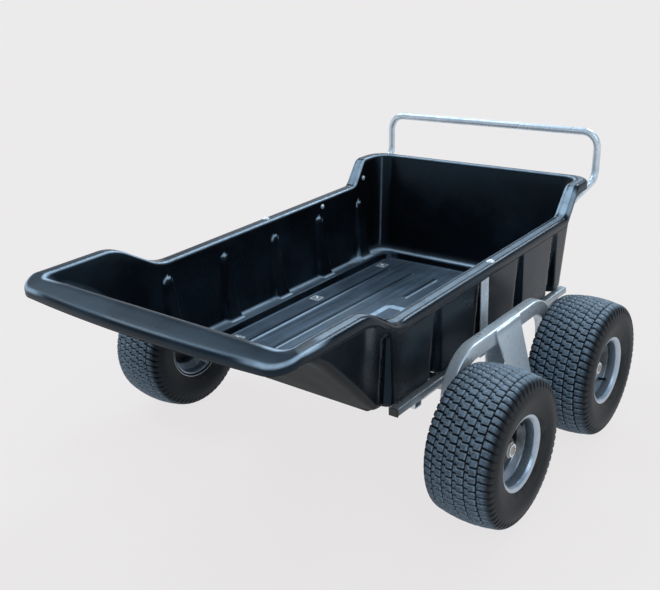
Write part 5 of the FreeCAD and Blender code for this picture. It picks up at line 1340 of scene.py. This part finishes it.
def wheel_section(s):
    """A pressed rim with its disc as a closed section of (along, radius), corners rounded."""
    flange, seat, well, steel = s.flange_radius, s.seat_radius, s.well_radius, s.steel
    ramp = s.well_half + 0.014
    edge = s.half_width
    inside = seat - steel
    floor = well - steel
    disc = s.disc
    corners = [
        (edge, flange, 0.0012), (edge - steel, flange, 0.0012), (edge - 0.012, seat, 0.006),
        (ramp, seat, 0.006), (s.well_half, well, 0.009), (-s.well_half, well, 0.009),
        (-ramp, seat, 0.006), (0.012 - edge, seat, 0.006), (steel - edge, flange, 0.0012),
        (-edge, flange, 0.0012), (0.009 - edge, inside, 0.006), (-ramp - 0.002, inside, 0.005),
        (-s.well_half - 0.002, floor, 0.008), (disc - 0.002, floor, 0.003),
        (disc - 0.002, s.hub_hole, 0.0008), (disc + 0.002, s.hub_hole, 0.0008),
        (disc + 0.002, floor, 0.010), (s.well_half + 0.002, floor, 0.008),
        (ramp + 0.002, inside, 0.006), (edge - 0.012, inside, 0.007),
        (edge - 0.004, inside + 0.006, 0.005)]
    spots = [corner[:2] for corner in corners]
    bends = [corner[2] for corner in corners]
    line = rounded_line([spots[-1]] + spots + [spots[0], spots[1]],
                        [0] + bends + [bends[0], 0], 7)
    return line[1:-8]


def hexagon(half_wide, low, high):
    """A nut about the Y direction: rings of six corners with a chamfered outer face."""
    t = np.linspace(0, 2 * math.pi, 6, endpoint=False)
    rings = ((low, 0.0), (low, half_wide), (high - 0.12 * (high - low), half_wide),
             (high, 0.86 * half_wide), (high, 0.45 * half_wide), (high, 0.0))
    return np.stack([np.stack([r * np.cos(t), np.full(6, -y), r * np.sin(t)], -1)
                     for y, r in rings])


def dome_bolt(washer, head, rise, flat=0.0016):
    """A round-headed bolt on a washer, about the Y direction with its head towards -Y:
    the head's profile is a quarter ellipse."""
    t = np.linspace(0, math.pi / 2, 8)
    dome = np.stack([-flat - rise * np.sin(t), head * np.cos(t)], 1)
    rim = np.array([(0.0, 0.0), (0.0, washer), (-flat, washer * 0.97), (-flat, head * 1.02)])
    return revolved(np.concatenate([rim, dome]), 24)


OUTBOARD = np.array([-1.0, 1.0])  # turns a profile's own direction towards -Y


def wheel_rim(s):
    """A wheel's rim about the Y direction, outboard towards -Y, and its painted shade: a soft
    step of how far a point lies in from the rim's outer edge."""
    section = wheel_section(s)
    rim = revolved(section * OUTBOARD, 100)
    depth = smooth((s.half_width - section[:, 0]) / s.shade_reach) * (section[:, 0] > 0)
    return rim, np.broadcast_to(depth[:, None], rim.shape[:2])


def wheel_nuts(s):
    """Four nuts on a circle about the Y direction, a quarter turn apart."""
    turns = math.pi / 4 + np.arange(4) * math.pi / 2
    middles = np.stack([np.cos(turns), 0 * turns, np.sin(turns)], 1) * s.lug_circle
    nut = hexagon(s.lug_nut, s.disc + 0.001, s.disc + 0.014)
    return [nut + middle for middle in middles]


def valve_points():
    """A valve: a stepped rubber stem with a cap, its profile turned about its own line."""
    profile = np.array([(0.0, 0.0), (0.0, 0.0085), (0.003, 0.0085), (0.006, 0.0052),
                        (0.022, 0.0046), (0.0225, 0.0052), (0.033, 0.0052),
                        (0.035, 0.0040), (0.035, 0.0)])
    return revolved(profile * OUTBOARD, 20)


def axle_cap_points():
    """The hub's cap: a low stepped disc about the Y direction, outboard towards -Y."""
    profile = np.array([(0.0500, 0.0), (0.0500, 0.0240), (0.0512, 0.0250),
                        (0.0560, 0.0245), (0.0580, 0.0215), (0.0585, 0.0)])
    return revolved(profile * OUTBOARD, 40)


class TRAILER_OT_wheels(bpy.types.Operator):
    """Make the tyres with their tread, the pressed wheels, their nuts, valves and caps"""
    bl_idname = "trailer.wheels"
    bl_label = "Wheels"

    def execute(self, context):
        s = context.scene.trailer_wheel
        tyre, marks = tyre_points(context.scene.trailer_tyre)
        rim, grime = wheel_rim(s)
        nuts = wheel_nuts(s)
        axle_end = [axle_cap_points(), hexagon(0.0150, 0.0560, 0.0640)]
        valve = valve_points()

        for side, sign in SIDES:
            half_turn = np.array([-sign, -sign, 1.0])
            for end, way in ENDS:
                name = f"{end}_{side}"
                body = f"wheel_{name}"
                centre = np.array([way * WHEEL_HALF_BASE, sign * HALF_TRACK, TYRE_RADIUS])
                turn = np.array(Matrix.Rotation(way * TYRE_TURNS[0] + sign * TYRE_TURNS[1],
                                                3, "Y"))
                rubber = Shell().grid(tyre @ turn.T * half_turn + centre, wrap_columns=True,
                                      marks=marks)
                add_shell(f"turf_tyre_{name}", rubber, None, "tyre_rubber", body,
                          [f"tyre_{name}"])
                steel = Shell().grid(rim * half_turn + centre, wrap_rows=True,
                                     wrap_columns=True, marks={"grime": grime})
                add_shell(f"pressed_wheel_{name}", steel, None, "rim_silver", body,
                          [f"wheel_rim_{name}"])
                bolts = Shell()
                for nut in nuts:
                    bolts.grid(nut * half_turn + centre, wrap_columns=True)
                add_shell(f"wheel_nuts_{name}", bolts, 35, "zinc", body)
                turn = VALVE_TURNS[name]
                radial = np.array([math.cos(turn), 0.0, math.sin(turn)])
                outwards = np.array([0.0, sign, 0.0])
                foot = centre + radial * s.valve_radius + outwards * s.valve_out
                stem = turned_to(valve, foot, outwards - radial * VALVE_LEAN, radial)
                add_shell(f"valve_{name}", Shell().grid(stem, wrap_columns=True), 40,
                          "black_trim", body)
                cap = Shell()
                for points in axle_end:
                    cap.grid(points * half_turn + centre, wrap_columns=True)
                add_shell(f"axle_nut_{name}", cap, 35, "hub_cap", "chassis", (), "zinc")
        return {"FINISHED"}


# ---------------------------------------------------------------- tubes and plates

def straight_tube(shell, low, high, axis, s, wall):
    """A rectangular tube that fills a box along one axis, rounded at its corners and open
    at its ends."""
    middle = (low + high) / 2
    start, end = middle.copy(), middle.copy()
    start[axis], end[axis] = low[axis], high[axis]
    across = np.eye(3)[(axis + 1) % 3]
    wide = (high - low)[(axis + 1) % 3]
    deep = (high - low)[(axis + 2) % 3]
    path = run_between(start, end, (0.0, 0.002, 0.5, 0.998, 1.0))
    bends = (s.tube_round, max(s.tube_round - wall, TUBE_LEAST_BEND))
    return shell.grid(open_tube(path, across, wide, deep, wall, bends), wrap_columns=True)


def centred(node):
    """A node's box, its places along the trailer measured from between the axles."""
    low, high = node_box(node)
    shift = np.array([AXLE_X, 0.0, 0.0])
    return low - shift, high - shift


def arched_beam(s, node):
    """An arched beam: a rounded tube section carried along a flat-topped arch."""
    low, high = centred(node)
    left = (low[1] + high[1]) / 2
    up = high[2] - s.beam_deep / 2
    half = WHEEL_HALF_BASE
    points = [(-half, left, low[2]), (-half, left, up), (half, left, up), (half, left, low[2])]
    line = rounded_line(points, [0, s.beam_bend, s.beam_bend, 0], 28)
    path = np.concatenate([line[:1], run_between(line[0], line[1], [0.02, 0.5]), line[1:-1],
                           run_between(line[-2], line[-1], [0.5, 0.98]), line[-1:]])
    rows = open_tube(path, (0.0, 1.0, 0.0), s.beam_wide, s.beam_deep, s.tube_wall,
                     (s.tube_round, s.beam_inner_round))
    return Shell().grid(rows, wrap_columns=True)


def weld_bead(path, radius, across, ripple=0.004):
    """A weld: a round section whose radius ripples along its path as 1 + 0.18 sin."""
    fine = resampled(np.asarray(path, float), 60)
    run = np.concatenate([[0], np.cumsum(np.linalg.norm(np.diff(fine, axis=0), axis=1))])
    swell = radius * (1 + 0.18 * np.sin(2 * math.pi * run / ripple))
    rows = carried(circle(1.0, 8), fine, across) - fine[:, None]
    rows = fine[:, None] + rows * swell[:, None, None]
    return closed_ends(rows, fine[0], fine[-1])


def bracket_shell(s, sign, beam):
    """A bogie bracket's two plates as closed slabs: each is a side line of one face carried
    across a width that narrows evenly from the crest to the foot."""
    low, high = centred(beam)
    crest = high[2] - s.bracket_step
    top = high[2] - s.beam_deep
    inner = sign * min(abs(low[1]), abs(high[1]))
    outer = sign * max(abs(low[1]), abs(high[1]))
    foot = s.spindle_height - s.sleeve_radius
    knee = s.spindle_height + s.sleeve_radius
    thick = s.plate * sign
    lean = outer + sign * s.splay
    lines = [
        ([(inner, top), (inner, foot)], [0, 0], thick),
        ([(outer + thick, crest), (outer + thick, crest - s.bracket_lap), (lean, knee),
          (lean, foot)], [0, 0.014, 0.030, 0], -thick)]
    shell = Shell()
    for points, bends, through in lines:
        side = resampled(rounded_line(points, bends, 12), 40)
        share_ = (side[:, 1] - foot) / (crest - foot)
        half = s.bracket_foot + (s.bracket_top - s.bracket_foot) * share_
        corners = [(-1, 0.0), (1, 0.0), (1, through), (-1, through)]
        rows = np.stack([np.stack([way * half, side[:, 0] + out, side[:, 1]], 1)
                         for way, out in corners], 1)
        shell.grid(closed_ends(rows, rows[0].mean(0), rows[-1].mean(0)), wrap_columns=True)
    return shell, (inner, outer, lean, top, crest)


def sleeve_points(s, sign, start, end):
    """A bracket's sleeve: a thick tube about the Y direction, its outer corners chamfered."""
    outer, bore, chamfer = s.sleeve_radius, s.sleeve_radius - s.sleeve_wall, 0.001
    profile = np.array([(start, bore), (start, outer - chamfer), (start + chamfer, outer),
                        (end - chamfer, outer), (end, outer - chamfer), (end, bore)])
    sleeve = revolved(profile * np.array([sign, 1.0]), 64)
    sleeve[..., 2] += s.spindle_height
    return sleeve


class TRAILER_OT_bogies(bpy.types.Operator):
    """Make the arched beams, their brackets with sleeves, and the welds between them"""
    bl_idname = "trailer.bogies"
    bl_label = "Bogies"

    def execute(self, context):
        s = context.scene.trailer_frame
        for side, sign in SIDES:
            beam = f"bogie_beam_{side}"
            add_shell(f"arched_beam_{side}", arched_beam(s, beam), 40, "galvanised",
                      "chassis", [beam])
            shell, (inner, outer, lean, top, crest) = bracket_shell(s, sign, beam)
            plates = add_shell(f"bracket_plates_{side}", shell, 30, "galvanised", "chassis",
                               [f"bogie_bracket_{side}"])
            soften = plates.modifiers.new("edges", "BEVEL")
            soften.width = 0.0012
            soften.segments = 2
            soften.limit_method = "ANGLE"
            metal = Shell().grid(sleeve_points(s, sign, abs(inner), abs(lean)),
                                 wrap_rows=True, wrap_columns=True)
            half = s.bracket_top - s.weld_inset
            for y, z in ((outer + sign * 0.002, crest), (inner - sign * 0.0005, top)):
                metal.grid(weld_bead([(-half, y, z), (0, y, z), (half, y, z)],
                                     s.weld_radius, (0, 1, 0)), wrap_columns=True)
            add_shell(f"bracket_sleeve_{side}", metal, 40, "galvanised", "chassis")
        return {"FINISHED"}


class TRAILER_OT_chassis(bpy.types.Operator):
    """Make the drawbar, the cross axle and the hinge beam as rounded tubes"""
    bl_idname = "trailer.chassis"
    bl_label = "Chassis tubes"

    def execute(self, context):
        s = context.scene.trailer_frame
        for node, axis in (("drawbar", 0), ("cross_axle", 1), ("hinge_beam", 1)):
            tube = straight_tube(Shell(), *centred(node), axis, s, s.tube_wall)
            add_shell(f"{node}_tube", tube, 40, "galvanised", "chassis", [node])
        return {"FINISHED"}


def strap_points(s, node, sign):
    """A strap: a flat bar section carried up the tub's side and out under its rim."""
    low, high = centred(node)
    ahead = (low[0] + high[0]) / 2
    face = sign * (min(abs(low[1]), abs(high[1])) + s.strap_thick / 2)
    reach = sign * max(abs(low[1]), abs(high[1]))
    top = high[2] - s.strap_thick / 2
    line = rounded_line([(ahead, face, low[2]), (ahead, face, top), (ahead, reach, top)],
                        [0, s.strap_bend, 0], 12)
    path = np.concatenate([line[:1], run_between(line[0], line[1], [0.01, 0.5]), line[1:]])
    section = rounded_rectangle(s.strap_wide, s.strap_thick, 0.0012, 4)
    return closed_ends(carried(section, path, (1.0, 0.0, 0.0)), path[0], path[-1])


class TRAILER_OT_bed_frame(bpy.types.Operator):
    """Make the bed's rails and cross members as rounded tubes, and the bent straps"""
    bl_idname = "trailer.bed_frame"
    bl_label = "Bed frame"

    def execute(self, context):
        s = context.scene.trailer_frame
        for side, sign in SIDES:
            rail = f"bed_rail_{side}"
            tube = straight_tube(Shell(), *centred(rail), 0, s, s.bed_wall)
            # The rails take the darker zinc: painted shade under the tub.
            add_shell(f"{rail}_tube", tube, 40, "weathered_zinc", "bed", [rail],
                      "galvanised")
            strap = Shell().grid(strap_points(s, f"strap_{side}", sign), wrap_columns=True)
            add_shell(f"bent_strap_{side}", strap, 40, "galvanised", "bed",
                      [f"strap_{side}"])
        low, high = centred("bed_cross_members")
        half = s.member_wide / 2
        members = Shell()
        for ahead in (low[0] + half, s.member_place, high[0] - half):
            straight_tube(members, np.array([ahead - half, low[1], low[2]]),
                          np.array([ahead + half, high[1], high[2]]), 1, s, s.bed_wall)
        # The cross members take the darker zinc: painted shade under the tub.
        add_shell("cross_member_tubes", members, 40, "weathered_zinc", "bed",
                  ["bed_cross_members"], "galvanised")
        return {"FINISHED"}


def handle_path(s, tub):
    """The handle's centre line: legs under both rims, up past the front wall, across."""
    half = HANDLE_HIGH[1] - s.handle_radius
    front = HANDLE_HIGH[0] - AXLE_X - s.handle_radius
    tail = 0.250
    drop = tub.wall + s.handle_radius + 0.009
    top = HANDLE_HIGH[2] - s.handle_radius
    points = np.array([
        (tail, -half, rim_height(tub, tail) - drop),
        (tub.step_foot + 0.010, -half, tub.step_foot_height - drop),
        (tub.step_top + 0.010, -half, TUB_HIGH[2] - 0.069),
        (front - 0.008, -half, TUB_HIGH[2] - 0.030),
        (front, -half, top)])
    points = np.concatenate([points, points[::-1] * np.array([1.0, -1.0, 1.0])])
    bends = [0, s.handle_bend, s.handle_bend, s.handle_front_bend, s.handle_bend]
    return rounded_line(points, bends + bends[::-1], 20)


def tube_along(path, radius, count=20):
    """A round tube along any path. Its frame is turned on from each point to the next by
    the smallest turn that follows the path."""
    ahead = np.gradient(path, axis=0)
    ahead /= np.linalg.norm(ahead, axis=1)[:, None]
    sideways = [np.cross(ahead[0], (0.0, 0.0, 1.0))]
    for here in ahead[1:]:
        last = sideways[-1] - here * (sideways[-1] @ here)
        sideways.append(last / np.linalg.norm(last))
    sideways = np.array(sideways)
    up = np.cross(sideways, ahead)
    ring = circle(radius, count)
    rows = (path[:, None] + ring[None, :, :1] * sideways[:, None]
            + ring[None, :, 1:] * up[:, None])
    return closed_ends(rows, path[0], path[-1])


class TRAILER_OT_handle(bpy.types.Operator):
    """Bend the push handle from one round tube"""
    bl_idname = "trailer.handle"
    bl_label = "Push handle"

    def execute(self, context):
        s = context.scene.trailer_frame
        path = handle_path(s, context.scene.trailer_tub)
        shell = Shell().grid(tube_along(path, s.handle_radius), wrap_columns=True)
        add_shell("bent_handle", shell, 50, "galvanised", "bed", ["push_handle"])
        return {"FINISHED"}


# ---------------------------------------------------------------- fasteners

def square_washer(half, thick, place):
    """A square washer lying flat, its upper edges rounded."""
    section = rounded_rectangle(2 * half, 2 * half, 0.003, 4)
    small = rounded_rectangle(2 * half - 0.001, 2 * half - 0.001, 0.003, 4)
    levels = ((section * 0, 0.0), (section, 0.0), (section, thick - 0.0005), (small, thick),
              (small * 0, thick))
    return np.stack([np.column_stack([ring, np.full(len(ring), up)])
                     for ring, up in levels]) + np.asarray(place)


class TRAILER_OT_fasteners(bpy.types.Operator):
    """Add the floor's washers and bolts, the strap bolts and the handle's bolts"""
    bl_idname = "trailer.fasteners"
    bl_label = "Fasteners"

    def execute(self, context):
        s = context.scene.trailer_tub
        bolts = Shell()
        up, ahead = np.array([0, 0, 1.0]), np.array([1.0, 0, 0])
        dome = dome_bolt(0.0100, 0.0075, 0.0042)
        level = s.ledge_height - s.panel_drop
        for x in (-0.334, 0.098, 0.529):
            for side in (-1, 1):
                place = np.array([x, side * 0.315, level])
                bolts.grid(square_washer(0.021, 0.002, place), wrap_columns=True)
                bolts.grid(turned_to(dome, place + up * 0.002, up, ahead), wrap_columns=True)
        big = dome_bolt(0.0130, 0.0090, 0.0050)
        for side in (-1, 1):
            x = 0.008
            place = np.array([x, side * 0.460, rim_height(s, x)])
            bolts.grid(turned_to(big, place, up, ahead), wrap_columns=True)
            for x, z in ((0.300, 0.625), (0.576, 0.678)):
                place = np.array([x, side * wall_half(s, x, z), z])
                bolts.grid(turned_to(dome, place, (0, -side, 0.04), ahead), wrap_columns=True)
        add_shell("tub_bolts", bolts, 35, "zinc", "bed")
        return {"FINISHED"}


class TRAILER_OT_finishes(bpy.types.Operator):
    """Give every solid that still shows the finish of its material slot"""
    bl_idname = "trailer.finishes"
    bl_label = "Finishes"

    def execute(self, context):
        slots = {row["node"]: row["material_slot"] for row in frame["record"]["subparts"]}
        for name, solid in frame["nodes"].items():
            if solid.hide_render:
                continue
            if not solid.material_slots:
                solid.data.materials.append(None)
            for place in solid.material_slots:
                place.material = finish_for("black_trim" if name.startswith("hub_")
                                            else slots[name])
        return {"FINISHED"}


# ---------------------------------------------------------------- studio

def floor_finish(settings, colours):
    """A pale floor. What the camera or a reflection sees of it is part its own plain
    paleness and part the light that falls on it, which keeps the object's shadow soft."""
    finish = Finish("studio_floor")
    tree = finish.tree
    cloud = noise(tree, finish.place, 0.7, 3.0, 0.5)
    pale = rgb(colours.floor)
    darker = tuple(0.995 * v for v in pale)
    finish.feed("Base Color", mixed(tree, cloud, pale, darker))
    finish.set(Roughness=0.9, Specular_IOR_Level=0.0)
    glow = add_node(tree, "Emission", {"Color": rgb(colours.backdrop)})
    amount = maths(tree, "MULTIPLY", seen_directly(tree), 1.0 - settings.shadow_depth)
    mix = add_node(tree, "MixShader", {0: amount, 1: finish.shader.outputs[0],
                                       2: glow.outputs[0]})
    tree.links.new(mix.outputs[0], tree.nodes["Material Output"].inputs["Surface"])
    return finish.material


def seen_directly(tree):
    """1 for what the camera, a reflection or a clear surface sees, else 0."""
    ray = add_node(tree, "LightPath", {})
    return maths(tree, "MAXIMUM", ray.outputs["Is Camera Ray"],
                 maths(tree, "MAXIMUM", ray.outputs["Is Glossy Ray"],
                       ray.outputs["Is Transmission Ray"]))


def add_floor(settings, colours):
    """A flat grid far larger than the view."""
    side = np.linspace(-60.0, 60.0, 13)
    x, y = np.meshgrid(side, side, indexing="ij")
    points = np.stack([x, y, np.zeros_like(x)], -1)
    shell = Shell().grid(points)
    shell.faces = [faces[:, ::-1] for faces in shell.faces]
    mesh = shell.mesh("studio_floor", outward=False)
    mesh.materials.append(floor_finish(settings, colours))
    floor = bpy.data.objects.new("studio_floor", mesh)
    bpy.context.scene.collection.objects.link(floor)


def add_world(settings, colours):
    """Even light. What the camera or a reflection sees is the floor's own paleness round
    the horizon and, by the height of the view's direction, a cool band above it, then
    darker walls and a cool ceiling."""
    world = bpy.data.worlds.new("studio")
    bpy.context.scene.world = world
    world.use_nodes = True
    tree = world.node_tree
    light = tree.nodes["Background"]
    light.inputs["Color"].default_value = (*rgb(colours.even), 1.0)
    light.inputs["Strength"].default_value = settings.world_level
    height = parts_of(tree, add_node(tree, "TexCoord", {}).outputs["Generated"])["Z"]
    shade = rgb(colours.backdrop)
    for low, high, colour_ in ((0.19, 0.24, colours.cool), (0.26, 0.35, colours.walls),
                               (0.38, 0.54, colours.ceiling)):
        shade = mixed(tree, spread(tree, height, low, high), shade, rgb(colour_))
    seen = add_node(tree, "Background", {"Color": shade})
    mix = add_node(tree, "MixShader", {0: seen_directly(tree), 1: light.outputs[0],
                                       2: seen.outputs[0]})
    tree.links.new(mix.outputs[0], tree.nodes["World Output"].inputs["Surface"])


def add_lights(settings, colours):
    """Distant soft lights, each from a heading and a height in degrees: ahead, to the left,
    a weaker one behind and to the right, and one that picks out the upper edges."""
    for name, heading, height in (("ahead", 0, 42), ("left", 92, 50), ("fill", -115, 44),
                                  ("edge", 39, 36)):
        heading, height = math.radians(heading), math.radians(height)
        way = Vector((math.cos(heading) * math.cos(height),
                      math.sin(heading) * math.cos(height), math.sin(height)))
        lamp = bpy.data.lights.new(name, "SUN")
        lamp.energy = getattr(settings, f"{name}_level")
        lamp.angle = getattr(settings, f"{name}_spread")
        lamp.color = colours.lamps
        light = bpy.data.objects.new(name, lamp)
        light.rotation_euler = (-way).to_track_quat("-Z", "Y").to_euler()
        bpy.context.scene.collection.objects.link(light)


def add_camera(settings):
    """The camera looks along its heading, tilted down and rolled about the line of sight."""
    yaw, pitch, roll = settings.camera_yaw, settings.camera_pitch, settings.camera_roll
    look = Vector((math.cos(pitch) * math.cos(yaw), math.cos(pitch) * math.sin(yaw),
                   -math.sin(pitch)))
    level = Vector((math.sin(yaw), -math.cos(yaw), 0.0))
    above = level.cross(look)
    right = math.cos(roll) * level + math.sin(roll) * above
    up = -math.sin(roll) * level + math.cos(roll) * above
    data = bpy.data.cameras.new("camera")
    data.lens = settings.camera_lens
    data.sensor_width = 36.0
    data.clip_end = 200.0
    camera = bpy.data.objects.new("camera", data)
    camera.matrix_world = Matrix.Translation(settings.camera_from) @ Matrix(
        (right, up, -look)).transposed().to_4x4()
    bpy.context.scene.collection.objects.link(camera)
    bpy.context.scene.camera = camera


class TRAILER_OT_stage(bpy.types.Operator):
    """Set up the pale floor, the even light and the camera"""
    bl_idname = "trailer.stage"
    bl_label = "Studio"

    def execute(self, context):
        settings = context.scene.trailer_stage
        colours = context.scene.trailer_colours
        add_floor(settings, colours)
        add_world(settings, colours)
        add_lights(settings, colours)
        add_camera(settings)
        context.scene.view_settings.view_transform = "Standard"
        return {"FINISHED"}


# ---------------------------------------------------------------- panel and main

OPERATORS = (TRAILER_OT_tub, TRAILER_OT_wheels, TRAILER_OT_bogies, TRAILER_OT_chassis,
             TRAILER_OT_bed_frame, TRAILER_OT_handle, TRAILER_OT_fasteners,
             TRAILER_OT_finishes, TRAILER_OT_stage)
SETTINGS = {"trailer_tub": TubSizes, "trailer_tyre": TyreSizes, "trailer_wheel": WheelSizes,
            "trailer_frame": FrameSizes, "trailer_colours": FinishColours,
            "trailer_stage": StageSettings}


class TRAILER_PT_panel(bpy.types.Panel):
    """Lists what the trailer is made of"""
    bl_idname = "TRAILER_PT_panel"
    bl_label = "Tipping trailer"
    bl_space_type = "VIEW_3D"
    bl_region_type = "UI"
    bl_category = "Trailer"

    def draw(self, context):
        for operator in OPERATORS:
            self.layout.operator(operator.bl_idname)


def register():
    """Register the settings, the operators and the panel."""
    for group in SETTINGS.values():
        bpy.utils.register_class(group)
    for name, group in SETTINGS.items():
        setattr(bpy.types.Scene, name, PointerProperty(type=group))
    for item in (*OPERATORS, TRAILER_PT_panel):
        bpy.utils.register_class(item)


def unregister():
    """Take away what register added, in the opposite order."""
    for item in (TRAILER_PT_panel, *reversed(OPERATORS)):
        bpy.utils.unregister_class(item)
    for name in SETTINGS:
        delattr(bpy.types.Scene, name)
    for group in reversed(tuple(SETTINGS.values())):
        bpy.utils.unregister_class(group)


def main():
    """Make the trailer and its studio."""
    register()
    bpy.ops.trailer.tub()
    bpy.ops.trailer.wheels()
    bpy.ops.trailer.bogies()
    bpy.ops.trailer.chassis()
    bpy.ops.trailer.bed_frame()
    bpy.ops.trailer.handle()
    bpy.ops.trailer.fasteners()
    bpy.ops.trailer.finishes()
    bpy.ops.trailer.stage()


if __name__ == "__main__":
    main()
